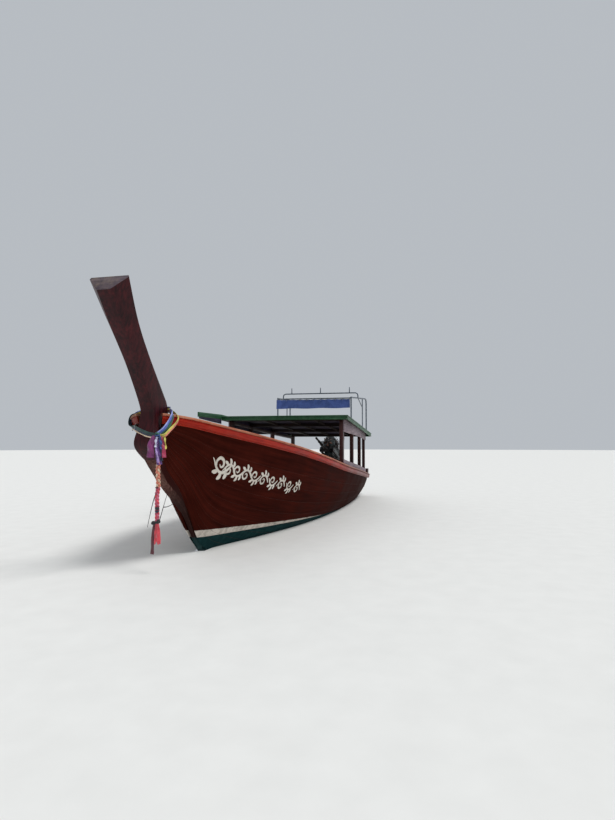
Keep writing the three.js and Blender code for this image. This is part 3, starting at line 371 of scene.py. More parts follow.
@dataclass(frozen=True)
class MetalFinish(Finish):
    """Bare or painted metal with rust, spangle or oil on it."""

    body: str = "#b4b8bb"
    mottle: str = "#8d9296"
    rust: str = "#6b3a20"
    rust_share: float = 0.1
    metallic: float = 1.0
    roughness: float = 0.38
    mottle_size: float = 0.02
    relief: float = 0.25

    def paint(self, tree: Tree) -> bpy.types.Node:
        """Paints a mottled metal with rust in patches and at its edges.

        Args:
            tree: the empty node tree.

        Returns:
            The surface shader.
        """
        place = add_node(tree, "TexCoord").outputs["Object"]
        mottle = add_node(tree, "TexVoronoi", {"Vector": place, "Scale": 1 / self.mottle_size})
        soft = noise(tree, place, 22.0, 8.0, 0.68)
        pits = noise(tree, place, 90.0, 7.0, 0.75)
        tone = calc(tree, "MULTIPLY", mottle.outputs["Color"], soft)
        base = add_node(tree, "ValToRGB", {0: tone}, stops=[(0.1, self.mottle), (0.45, self.body)])
        spread = calc(tree, "MULTIPLY_ADD", edge_mask(tree, 0.004), 0.22, soft)
        level = 0.78 - self.rust_share * 0.6
        rusty = between(tree, spread, level, level + 0.06)
        scale = add_node(tree, "ValToRGB", {0: pits}, stops=[
            (0.3, "#2c160d"), (0.5, self.rust), (0.7, "#8d5430")])
        bump = add_node(tree, "Bump", {"Height": pits, "Strength": self.relief, "Distance": 0.0008})
        return add_node(tree, "BsdfPrincipled", {
            "Base Color": blend(tree, rusty, base.outputs[0], scale.outputs[0]),
            "Metallic": between(tree, rusty, 0.0, 1.0, self.metallic, 0.0),
            "Roughness": between(tree, rusty, 0.0, 1.0, self.roughness, 0.85),
            "Normal": bump.outputs[0]})


@dataclass(frozen=True)
class ClothFinish(Finish):
    """Woven cloth on the piece's own map, in metres: a plain weave with a sheen."""

    body: str = "#2f4f86"
    shade: str = "#1f3560"
    thread: float = 0.0022  # metres between threads, drawn coarse so that it shows
    roughness: float = 0.8
    sheen: float = 0.4

    def paint(self, tree: Tree) -> bpy.types.Node:
        """Paints the weave, patches of painted shade for its folds, and the sheen.

        Args:
            tree: the empty node tree.

        Returns:
            The surface shader.
        """
        flat = add_node(tree, "UVMap", uv_map="grain").outputs[0]
        turns = [add_node(tree, "TexWave", {"Vector": flat, "Scale": 0.31 / self.thread, "Distortion": 0.4},
                          bands_direction=way) for way in ("X", "Y")]
        weave = calc(tree, "MULTIPLY", turns[0].outputs[1], turns[1].outputs[1])
        tone = calc(tree, "MULTIPLY_ADD", weave, 0.25, noise(tree, flat, 9.0, 6.0, 0.65))
        # the shade colour is painted shade, mixed in with the dye in patches
        dye_and_shade = add_node(tree, "ValToRGB", {0: tone}, stops=[(0.35, self.shade), (0.68, self.body)])
        bump = add_node(tree, "Bump", {"Height": weave, "Strength": 0.5, "Distance": 0.0006})
        return add_node(tree, "BsdfPrincipled", {
            "Base Color": dye_and_shade.outputs[0], "Roughness": self.roughness, "Sheen Weight": self.sheen,
            "Normal": bump.outputs[0]})


@dataclass(frozen=True)
class StudioPaper(Finish):
    """Pale seamless paper with the faintest mottle."""

    def paint(self, tree: Tree) -> bpy.types.Node:
        """Paints the paper.

        Args:
            tree: the empty node tree.

        Returns:
            The surface shader.
        """
        fibre = add_node(tree, "TexNoise", {"Scale": 900.0, "Detail": 3.0})
        shade = add_node(tree, "ValToRGB", {0: fibre.outputs[0]}, stops=[(0.0, "#d9d8d4"), (1.0, "#e3e2de")])
        return add_node(tree, "BsdfPrincipled", {"Base Color": shade.outputs[0], "Roughness": 0.9})


# Dark red-brown oil varnish over hardwood planks: deep, with a thin grain and a low shine
HULL_VARNISH = TimberFinish("hull_varnish_on_planks", deep="#210a07", body="#3c150f", pale="#541f16",
                            worn="#5f2a1a", grain=Grain.MAPPED, roughness=0.48, edge_wear=0.12,
                            boot_top=True, gloss=0.002, contrast=0.55, grain_width=0.06, relief=0.22,
                            stern_colour="#2b110d")
# The hull's boards inside, under old oil and bilge dirt
INSIDE_PAINT = TimberFinish("oiled_planks_inside", deep="#1e0f0c", body="#3a1f18", pale="#54322a",
                            worn="#6f5040", grain=Grain.MAPPED, roughness=0.6, edge_wear=0.2,
                            gloss=0.15, contrast=0.8, fading=0.2)
# The hull's varnish on solid timbers that have no map of their own
FRAME_VARNISH = TimberFinish("varnish_on_frames", deep="#240604", body="#440f08", pale="#5c180c",
                             worn="#5f2a1a", roughness=0.48, edge_wear=0.3, boot_top=True,
                             gloss=0.08)
STEM_WOOD = TimberFinish("stem_worn_wood", deep="#2b1714", body="#4f322c", pale="#6d4f48",
                         worn="#84695f", grain=Grain.UPRIGHT, roughness=0.6, edge_wear=0.5,
                         fading=0.5, boot_top=True, white_line=False, foot="#26100d",
                         flank="#2c0804", gloss=0.06)
PROW_VARNISH = TimberFinish("prow_gloss_varnish", deep="#1d080c", body="#371015", pale="#4b171b",
                            worn="#6d4a48", grain=Grain.UPRIGHT, roughness=0.42, coat=0.03,
                            edge_wear=0.5, grain_width=0.035, gloss=0.18)
PROW_END = TimberFinish("prow_end_grain", deep="#2f232b", body="#4a3c46", pale="#66555c",
                        worn="#a08c74", grain=Grain.ACROSS, roughness=0.65, edge_wear=0.6, fading=0.35)
# Orange-red gloss brushed on the rub rails, gone chalky in the sun
RAIL_PAINT = TimberFinish("rail_orange_paint", deep="#6f1008", body="#9c1e10", pale="#b43218",
                          worn="#c06a52", grain=Grain.MAPPED, roughness=0.45, edge_wear=0.6,
                          fading=0.14, contrast=0.8, gloss=0.12, stern_colour="#7c5a58")
CAP_WOOD = TimberFinish("cap_rail_worn_paint", deep="#7a3624", body="#a9634a", pale="#c0876c",
                        worn="#cda48a", grain=Grain.MAPPED, roughness=0.6, edge_wear=0.5, fading=0.4,
                        gloss=0.15, stern_colour="#8d6f6c")
DECK_BOARDS = TimberFinish("oiled_deck_boards", deep="#3f281b", body="#6b4a33", pale="#93704f",
                           worn="#a88c6d", roughness=0.66, edge_wear=0.4, fading=0.3, boards=0.132)
BARE_WOOD_ACROSS = TimberFinish("oiled_hardwood_across", deep="#4b3020", body="#7b5539",
                                pale="#a37c58", worn="#b39472", grain=Grain.ACROSS, roughness=0.62,
                                edge_wear=0.4, fading=0.25)
GREY_WOOD = TimberFinish("bleached_mauve_paint", deep="#52434b", body="#75656d", pale="#94848a",
                         worn="#ab9a92", roughness=0.62, edge_wear=0.5, fading=0.35, gloss=0.25)
POST_WOOD = TimberFinish("brown_paint_on_posts", deep="#1c0b0a", body="#351512", pale="#48201b",
                         worn="#6f4a3d", grain=Grain.UPRIGHT, roughness=0.45, coat=0.04, edge_wear=0.4,
                         gloss=0.3)
# The unpainted underside of the roof, nearly black with painted shade; also inside the side boards and on
# the batten
SOFFIT_SHADE = TimberFinish("dark_soffit_boards", deep="#1b1826", body="#332d40", pale="#483f52",
                           worn="#4a3a34", roughness=0.7, edge_wear=0.25, gloss=0.2)
BEAM_WOOD = TimberFinish("dark_roof_beams", deep="#100b0b", body="#221715", pale="#35241f",
                         worn="#5b4537", grain=Grain.ACROSS, roughness=0.65, edge_wear=0.35, gloss=0.2)
ROOF_PAINT = TimberFinish("green_gloss_on_roof", deep="#0f3019", body="#1c4a2a", pale="#2f6340",
                          worn="#7d9678", roughness=0.45, coat=0.05, edge_wear=0.5, fading=0.14,
                          contrast=0.9, gloss=0.3)
STEEL_TUBE = MetalFinish("galvanised_tube", body="#8a9199", mottle="#5f6670", rust_share=0.08)
DARK_TUBE = MetalFinish("weathered_tube", body="#6b7480", mottle="#4a525e", rust_share=0.14,
                        roughness=0.5)
BLACK_IRON = MetalFinish("black_painted_iron", body="#232426", mottle="#161718", metallic=0.0,
                         roughness=0.45, rust_share=0.2, mottle_size=0.05)
ENGINE_ENAMEL = MetalFinish("engine_enamel", body="#2f3a38", mottle="#1f2827", metallic=0.0,
                            roughness=0.4, rust_share=0.12, mottle_size=0.06)
BRIGHT_STEEL = MetalFinish("worn_steel", body="#a5a7a8", mottle="#7b7d7e", rust_share=0.14,
                           roughness=0.32, mottle_size=0.03)
CAST_BRONZE = MetalFinish("cast_bronze", body="#a8833f", mottle="#6f5a2d", rust="#3d6b52",
                          rust_share=0.12, roughness=0.35, mottle_size=0.025)
RUBBER = MetalFinish("black_rubber", body="#191919", mottle="#0f0f0f", metallic=0.0, roughness=0.7,
                     rust_share=-0.5, mottle_size=0.01)
CANVAS = ClothFinish("blue_canvas", body="#4b63a8", shade="#364a88", roughness=0.85)
DRY_TWIG = TimberFinish("dry_twig", deep="#120f14", body="#221c22", pale="#3a3033", worn="#6a5a50",
                        grain=Grain.UPRIGHT, roughness=0.75, edge_wear=0.2, gloss=0.2)
# White brush paint of the bow ornament, a little yellowed and thin in places
WHITE_PAINT = TimberFinish("white_brush_paint", deep="#bdb3a4", body="#d9d2c6", pale="#ece7dd",
                           worn="#8f8378", grain=Grain.MAPPED, roughness=0.5, edge_wear=0.25,
                           fading=0.3, relief=0.3)
ROPE_TIE = ClothFinish("grey_lacing", body="#8f8c86", shade="#5b5954", roughness=0.9, thread=0.003)


@dataclass(frozen=True)
class SatinFinish(ClothFinish):
    """Satin ribbon: long floats across it give a soft shine, and its folds go darker with painted shade."""

    body: str = "#c03050"
    shade: str = "#701a30"
    thread: float = 0.0016
    roughness: float = 0.42
    sheen: float = 0.25


DYES = {
    # a ribbon's colour in the light and in its folds
    "forest_green": ("#235a45", "#0c2a22"),
    "violet_blue": ("#5b6fc4", "#2b3a86"),
    "pale_blue": ("#a9b6e6", "#6677bd"),
    "white": ("#dcdcea", "#9a9ab8"),
    "deep_blue": ("#2b4f96", "#14264f"),
    "green": ("#1f6a58", "#0d3430"),
    "deep_green": ("#16413c", "#0a2020"),
    "navy": ("#1a2c48", "#0c1626"),
    "yellow": ("#d8cc5e", "#8f8a34"),
    "cream": ("#e3cdb0", "#b0876a"),
    "magenta": ("#8e2f78", "#4c1640"),
    "purple": ("#6b3f8f", "#35204f"),
    "lilac": ("#b49ad0", "#7a5b9f"),
    "crimson": ("#b8305a", "#6b1834"),
    "salmon": ("#e58e74", "#b0563f"),
    "pink": ("#dc6a84", "#96364f"),
    "coral": ("#ee5560", "#b52f40"),
    "maroon": ("#6b2733", "#3a121b"),
    "black": ("#1a1c24", "#0a0b0f"),
}
SATIN = {name: SatinFinish(f"satin_{name}", body=body, shade=shade)
         for name, (body, shade) in DYES.items()}


# Modelling bench


def spread(start: float, end: float, steps: int) -> list[float]:
    """Numbers spread evenly from one to another, both with them."""
    return [start + (end - start) * k / steps for k in range(steps + 1)]


def around(count: int, start: float = 0.0, closed: bool = False) -> list[float]:
    """Angles spread evenly round a turn, in radians; a closed turn ends where it starts."""
    return [2 * math.pi * n / count + start for n in range(count + closed)]


def ramp(value: float, start: float, length: float) -> float:
    """How far a value has come along a stretch: 0 before it, 1 after it."""
    return max(0.0, min(1.0, (value - start) / length))


def eased(rows: Sequence[Sequence[float]], i: int, f: float) -> list[float]:
    """The numbers between two rows of a table, on smooth curves through all its rows.

    Args:
        rows: the table.
        i: the row before the place.
        f: the share of the way to the next row.

    Returns:
        The row at that place.
    """
    near = [rows[max(0, min(len(rows) - 1, i + k))] for k in (-1, 0, 1, 2)]
    out = []
    for p0, p1, p2, p3 in zip(*near):
        m1, m2 = (p2 - p0) / 2, (p3 - p1) / 2
        out.append((2 * f**3 - 3 * f**2 + 1) * p1 + (f**3 - 2 * f**2 + f) * m1
                   + (3 * f**2 - 2 * f**3) * p2 + (f**3 - f**2) * m2)
    return out


def curve_through(points: Sequence[Sequence[float]], steps: int) -> list[Vector]:
    """Evenly spaced points on a smooth curve through others.

    Args:
        points: the points that the curve passes.
        steps: the number of steps along it.

    Returns:
        The points, one more than the steps.
    """
    points = [Vector(p) for p in points]
    fine = []
    last = len(points) - 1
    for i in range(last):
        a, b, c, d = (points[max(0, min(last, i + k))] for k in (-1, 0, 1, 2))
        for n in range(16):
            f = n / 16
            fine.append((b * 2 + (c - a) * f + (a * 2 - b * 5 + c * 4 - d) * f * f
                         + (b * 3 - a - c * 3 + d) * f**3) / 2)
    fine.append(points[-1])
    reach = [0.0]
    for a, b in zip(fine, fine[1:]):
        reach.append(reach[-1] + (b - a).length)
    out, k = [], 0
    for n in range(steps + 1):
        goal = reach[-1] * n / steps
        while k < len(fine) - 2 and reach[k + 1] < goal:
            k += 1
        span = max(reach[k + 1] - reach[k], 1e-9)
        out.append(fine[k].lerp(fine[k + 1], ramp(goal, reach[k], span)))
    return out


def cloth(work: "Work") -> "Work":
    """Hands back a strip of cloth as it is.

    Args:
        work: the piece, a thin closed strip or several alike.

    Returns:
        The piece.
    """
    return work


def deselect() -> None:
    """Leaves edit mode and deselects everything."""
    if bpy.context.mode != "OBJECT":
        bpy.ops.object.mode_set(mode="OBJECT")
    bpy.ops.object.select_all(action="DESELECT")


class Work:
    """A piece on the bench: one mesh object, shaped with modelling operators."""

    def __init__(self, name: str) -> None:
        """Takes the primitive that was just added.

        Args:
            name: the piece's name.
        """
        self.object = bpy.context.active_object
        self.object.name = name
        self.object.data.name = name

    @property
    def mesh(self) -> bpy.types.Mesh:
        """The piece's mesh."""
        return self.object.data

    @classmethod
    def box(cls, name: str, low: Sequence[float], high: Sequence[float]) -> "Work":
        """Starts a piece from a box.

        Args:
            name: the piece's name.
            low: its lowest corner.
            high: its highest corner.

        Returns:
            The piece.
        """
        deselect()
        middle = [(a + b) / 2 for a, b in zip(low, high)]
        bpy.ops.mesh.primitive_cube_add(size=1, location=middle, scale=[b - a for a, b in zip(low, high)])
        return cls(name).settle()

    @classmethod
    def rod(cls, name: str, start: Sequence[float], end: Sequence[float], radius: float,
            sides: int = 20) -> "Work":
        """Starts a piece from a round bar between two points.

        Args:
            name: the piece's name.
            start: the first end's middle.
            end: the other end's middle.
            radius: its radius.
            sides: corners of its section.

        Returns:
            The piece.
        """
        deselect()
        start, end = Vector(start), Vector(end)
        along = end - start
        turn = Vector((0, 0, 1)).rotation_difference(along).to_euler()
        bpy.ops.mesh.primitive_cone_add(
            vertices=sides, radius1=radius, radius2=radius, depth=along.length,
            location=(start + end) / 2, rotation=turn)
        return cls(name).settle()

    @classmethod
    def ring(cls, name: str, middle: Sequence[float], radius: float, thick: float,
             axis: Sequence[float] = (0, 0, 1), sides: int = 28) -> "Work":
        """Starts a piece from a torus.

        Args:
            name: the piece's name.
            middle: its middle.
            radius: the middle radius of the ring.
            thick: the radius of its bar.
            axis: the ring's axis.
            sides: divisions round it.

        Returns:
            The piece.
        """
        deselect()
        turn = Vector((0, 0, 1)).rotation_difference(Vector(axis)).to_euler()
        bpy.ops.mesh.primitive_torus_add(major_radius=radius, minor_radius=thick, major_segments=sides,
                                         minor_segments=10, location=middle, rotation=turn)
        return cls(name).settle()

    @classmethod
    def ball(cls, name: str, middle: Sequence[float], radius: float) -> "Work":
        """Starts a piece from a sphere.

        Args:
            name: the piece's name.
            middle: its middle.
            radius: its radius.

        Returns:
            The piece.
        """
        deselect()
        bpy.ops.mesh.primitive_uv_sphere_add(segments=20, ring_count=12, radius=radius, location=middle)
        return cls(name).settle()

    @classmethod
    def loft(cls, name: str, rings: Sequence[Sequence[Vector]], caps: bool = True) -> "Work":
        """Starts a piece from a grid laid over closed rings of points, with its map in metres.

        Args:
            name: the piece's name.
            rings: rings of equal length, in order along the piece.
            caps: whether the two ends are filled.

        Returns:
            The piece.
        """
        deselect()
        rows = [list(ring) + [ring[0]] for ring in rings]
        count, width = len(rows), len(rows[0])
        bpy.ops.mesh.primitive_grid_add(x_subdivisions=width - 1, y_subdivisions=count - 1, size=1)
        work = cls(name)
        mesh = work.mesh
        flat = [p for row in rows for p in row]
        mesh.vertices.foreach_set("co", [c for p in flat for c in p])
        along = [0.0]
        for a, b in zip(rows, rows[1:]):
            along.append(along[-1] + (b[width // 2] - a[width // 2]).length)
        middle = rows[count // 2]
        across = [0.0]
        for a, b in zip(middle, middle[1:]):
            across.append(across[-1] + (b - a).length)
        layer = mesh.uv_layers[0]
        layer.name = "grain"
        for loop in mesh.loops:
            i, j = divmod(loop.vertex_index, width)
            layer.data[loop.index].uv = (along[i], across[j])
        work.merge(1e-6)
        if caps:
            bpy.ops.object.mode_set(mode="EDIT")
            bpy.ops.mesh.select_all(action="DESELECT")
            bpy.ops.mesh.select_mode(type="EDGE")
            bpy.ops.mesh.select_non_manifold(extend=False)
            bpy.ops.mesh.edge_face_add()
            bpy.ops.object.mode_set(mode="OBJECT")
        return work.outward()

    @classmethod
    def tube(cls, name: str, path: Sequence[Vector], radius: float, sides: int = 12,
             radii: Sequence[float] = ()) -> "Work":
        """Starts a piece from a round bar that follows a path.

        Args:
            name: the piece's name.
            path: the points of its middle line.
            radius: its radius.
            sides: corners of its section.
            radii: a radius for each point, where it changes.

        Returns:
            The piece.
        """
        rings = []
        path = [Vector(p) for p in path]
        up = Vector((0.0, 0.0, 1.0))
        if abs((path[1] - path[0]).normalized().z) > 0.9:
            up = Vector((1.0, 0.0, 0.0))
        for k, point in enumerate(path):
            ahead = (path[min(k + 1, len(path) - 1)] - path[max(k - 1, 0)]).normalized()
            side = ahead.cross(up).normalized()
            up = side.cross(ahead).normalized()
            size = radii[k] if radii else radius
            rings.append([point + (side * math.cos(a) + up * math.sin(a)) * size for a in around(sides)])
        return cls.loft(name, rings)

    @classmethod
    def copy_of(cls, name: str, node: str) -> "Work":
        """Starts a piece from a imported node's own shape, with its corners merged.

        Args:
            name: the piece's name.
            node: the node.

        Returns:
            The piece.
        """
        deselect()
        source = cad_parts[node]
        copy = source.copy()
        copy.data = source.data.copy()
        bpy.context.collection.objects.link(copy)
        for key in list(copy.keys()):
            del copy[key]
        copy.data.materials.clear()
        copy.select_set(True)
        bpy.context.view_layer.objects.active = copy
        bpy.ops.object.transform_apply(location=True, rotation=True, scale=True)
        work = cls(name)
        work.merge(1e-5)
        return work

    @classmethod
    def ribbon(cls, name: str, path: Sequence[Sequence[float]], width: float, facing: Sequence[float],
               flutter: float = 0.006, waves: float = 3.0, cup: float = 0.15, thick: float = 0.0008,
               steps: int = 36, turn: float = 0.0, end_width: float | None = None,
               shift: float = 0.0, lift: float = 0.0, away: bool = False, level: bool = False) -> "Work":
        """Starts a piece from a strip of cloth that follows a path, with small waves in it.

        Args:
            name: the piece's name.
            path: a few points of its middle line.
            width: its width at the start.
            facing: the way that its face looks, or the point that it looks away from.
            flutter: the height of its waves.
            waves: how many there are along it.
            cup: how far its edges curl back, as a share of its width.
            thick: the cloth's thickness.
            steps: divisions along it.
            turn: how far the strip twists by its end, in radians.
            end_width: its width at the end, the same if not given.
            shift: how far it lies sideways from the path.
            lift: how far it stands out from the path.
            away: whether the facing is such a point.
            level: whether its face looks out level.

        Returns:
            The piece.
        """
        points = curve_through(path, steps)
        facing = Vector(facing)
        columns = 6
        rings = []
        for k, point in enumerate(points):
            share = k / steps
            ahead = (points[min(k + 1, steps)] - points[max(k - 1, 0)]).normalized()
            out = point - facing if away else facing
            if level:
                out = Vector((out.x, out.y, 0.0))
            out = (out - ahead * out.dot(ahead)).normalized()
            side = ahead.cross(out)
            angle = turn * share
            out, side = (out * math.cos(angle) + side * math.sin(angle),
                         side * math.cos(angle) - out * math.sin(angle))
            wide = width + ((width if end_width is None else end_width) - width) * share
            fade = min(1.0, 4 * share)
            upper, lower = [], []
            for j in range(columns + 1):
                c = 2 * j / columns - 1
                wave = math.sin(2 * math.pi * waves * share + 1.1 * c) * flutter * fade
                height = wave - cup * width * c * c
                at = point + side * (wide / 2 * c + shift) + out * (height + lift)
                upper.append(at + out * (thick / 2))
                lower.append(at - out * (thick / 2))
            rings.append(upper + lower[::-1])
        return cls.loft(name, rings)

    def settle(self) -> "Work":
        """Puts the object at the origin and its place in its mesh."""
        bpy.ops.object.transform_apply(location=True, rotation=True, scale=True)
        return self

    def take(self) -> None:
        """Selects this piece alone."""
        deselect()
        self.object.select_set(True)
        bpy.context.view_layer.objects.active = self.object

    def merge(self, distance: float) -> "Work":
        """Merges corners that lie together.

        Args:
            distance: how near, in metres.

        Returns:
            The piece.
        """
        return self.edit(bpy.ops.mesh.remove_doubles, threshold=distance)

    def outward(self) -> "Work":
        """Turns the faces outwards."""
        return self.edit(bpy.ops.mesh.normals_make_consistent, inside=False)

    def edit(self, operator: Callable, **settings) -> "Work":
        """Runs an operator on the whole mesh in edit mode.

        Args:
            operator: the operator.
            settings: its settings.

        Returns:
            The piece.
        """
        self.take()
        bpy.ops.object.mode_set(mode="EDIT")
        bpy.ops.mesh.select_all(action="SELECT")
        operator(**settings)
        bpy.ops.object.mode_set(mode="OBJECT")
        return self

    def inset(self, wanted: Callable[[Vector, Vector], bool], rim: float, depth: float) -> "Work":
        """Insets faces and sinks or raises what is inside the rim.

        Args:
            wanted: says of a face's centre and normal whether it is inset.
            rim: the rim's width.
            depth: how far the inside goes in, or out if negative.

        Returns:
            The piece.
        """
        self.take()
        bpy.ops.object.mode_set(mode="EDIT")
        bpy.ops.mesh.select_mode(type="FACE")
        bpy.ops.mesh.select_all(action="DESELECT")
        bpy.ops.object.mode_set(mode="OBJECT")
        for face in self.mesh.polygons:
            face.select = wanted(face.center, face.normal)
        bpy.ops.object.mode_set(mode="EDIT")
        bpy.ops.mesh.inset(thickness=rim, depth=0)
        bpy.ops.mesh.inset(thickness=0.0002, depth=-depth)
        bpy.ops.object.mode_set(mode="OBJECT")
        return self

    def modify(self, kind: str, **settings) -> "Work":
        """Adds a modifier and applies it.

        Args:
            kind: the modifier's type.
            settings: its attributes.

        Returns:
            The piece.
        """
        self.take()
        modifier = self.object.modifiers.new(kind.lower(), kind)
        for key, value in settings.items():
            setattr(modifier, key, value)
        bpy.ops.object.modifier_apply(modifier=modifier.name)
        return self

    def ease(self, width: float, segments: int = 2, angle: float = 32.0) -> "Work":
        """Rounds the edges that turn more than an angle.

        Args:
            width: the bevel's width.
            segments: steps in the bevel.
            angle: the least turn, in degrees.

        Returns:
            The piece.
        """
        return self.modify("BEVEL", width=width, segments=segments, limit_method="ANGLE",
                           angle_limit=math.radians(angle), miter_outer="MITER_ARC")

    def smooth(self, angle: float = 34.0) -> "Work":
        """Shades the piece smooth, apart from its sharp edges.

        Args:
            angle: edges that turn more than this stay sharp, in degrees.

        Returns:
            The piece.
        """
        self.take()
        bpy.ops.object.shade_smooth_by_angle(angle=math.radians(angle))
        return self

    def turned(self, matrix: Matrix) -> "Work":
        """A copy of the piece, placed by a matrix.

        Args:
            matrix: the copy's place.

        Returns:
            The copy.
        """
        deselect()
        copy = self.object.copy()
        copy.data = self.mesh.copy()
        copy.data.transform(matrix)
        if matrix.determinant() < 0:
            copy.data.flip_normals()
        bpy.context.collection.objects.link(copy)
        copy.select_set(True)
        bpy.context.view_layer.objects.active = copy
        return Work(self.object.name)

    def at_all(self, places: Sequence[Matrix]) -> "Work":
        """Repeats the piece at several places, as one mesh.

        Args:
            places: where each copy goes.

        Returns:
            The piece, now all the copies together.
        """
        copies = [self.turned(place) for place in places]
        name = self.object.name
        bpy.data.objects.remove(self.object, do_unlink=True)
        self.object = copies[0].object
        self.object.name = name
        return self.join(copies[1:])

    def join(self, others: Sequence["Work"]) -> "Work":
        """Joins other pieces into this one.

        Args:
            others: the pieces to take in.

        Returns:
            The piece.
        """
        if others:
            self.take()
            for other in others:
                other.object.select_set(True)
            bpy.ops.object.join()
        return self

    @staticmethod
    def joined(parts: Sequence["Work"], name: str = "") -> "Work":
        """Joins pieces into the first of them.

        Args:
            parts: the pieces.
            name: the whole's name, the first piece's if not given.

        Returns:
            The whole.
        """
        whole = parts[0].join(parts[1:])
        whole.object.name = name or whole.object.name
        return whole

    def two_finishes(self, finish: Finish, other: Finish,
                     wanted: Callable[[Vector, Vector], bool]) -> "Work":
        """Gives some faces another finish than the rest.

        Args:
            finish: the finish of the rest.
            other: the other finish.
            wanted: says of a face's centre and normal whether it has the other finish.

        Returns:
            The piece.
        """
        for each in (finish, other):
            self.mesh.materials.append(each.make())
        for face in self.mesh.polygons:
            face.material_index = 1 if wanted(face.center, face.normal) else 0
        return self

    def tone(self, value: float) -> "Work":
        """Gives the whole piece one board tone.

        Args:
            value: lighter above 0, darker below.

        Returns:
            The piece.
        """
        layer = self.mesh.attributes.new("board_tone", "FLOAT", "POINT")
        layer.data.foreach_set("value", [value] * len(self.mesh.vertices))
        return self

    def fit(self, body: str, finish: Finish | None, slot: str, stands_for: Sequence[str] = ()) -> "Work":
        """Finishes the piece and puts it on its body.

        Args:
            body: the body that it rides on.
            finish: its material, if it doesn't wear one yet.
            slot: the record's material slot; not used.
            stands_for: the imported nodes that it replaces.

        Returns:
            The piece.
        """
        deselect()
        if finish:
            self.mesh.materials.clear()
            self.mesh.materials.append(finish.make())
        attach(self.object, body)
        if stands_for:
            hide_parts(*stands_for)
        log.info("%s: %d faces on %s", self.object.name, len(self.mesh.polygons), body)
        return self


def softened(node: str, finish: Finish, width: float = 0.003) -> None:
    """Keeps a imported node, eases its edges with live modifiers and gives it a finish.

    Args:
        node: the node's name.
        finish: its material.
        width: the width of its eased edges.
    """
    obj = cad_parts[node]
    weld = obj.modifiers.new("weld", "WELD")
    weld.merge_threshold = 1e-5
    if width:
        bevel = obj.modifiers.new("eased_edges", "BEVEL")
        bevel.width = width
        bevel.segments = 2
        bevel.limit_method = "ANGLE"
        bevel.angle_limit = math.radians(40)
    shade = obj.modifiers.new("round_shading", "NODES")
    shade.node_group = round_shading()
    for place in obj.material_slots:
        place.material = finish.make()


def round_shading() -> Tree:
    """The node group that shades everything smooth apart from edges over 36 degrees."""
    name = "round_shading"
    if name in bpy.data.node_groups:
        return bpy.data.node_groups[name]
    tree = bpy.data.node_groups.new(name, "GeometryNodeTree")
    tree.interface.new_socket("Geometry", in_out="INPUT", socket_type="NodeSocketGeometry")
    tree.interface.new_socket("Geometry", in_out="OUTPUT", socket_type="NodeSocketGeometry")
    start, end = tree.nodes.new("NodeGroupInput"), tree.nodes.new("NodeGroupOutput")
    angle = tree.nodes.new("GeometryNodeInputMeshEdgeAngle")
    gentle = tree.nodes.new("FunctionNodeCompare")
    gentle.operation = "LESS_THAN"
    gentle.inputs["B"].default_value = math.radians(36)
    tree.links.new(angle.outputs["Unsigned Angle"], gentle.inputs["A"])
    faces, edges = (tree.nodes.new("GeometryNodeSetShadeSmooth") for _ in range(2))
    edges.domain = "EDGE"
    tree.links.new(start.outputs[0], faces.inputs["Geometry"])
    tree.links.new(faces.outputs[0], edges.inputs["Geometry"])
    tree.links.new(gentle.outputs[0], edges.inputs["Shade Smooth"])
    tree.links.new(edges.outputs[0], end.inputs[0])
    return tree


# Hull lines


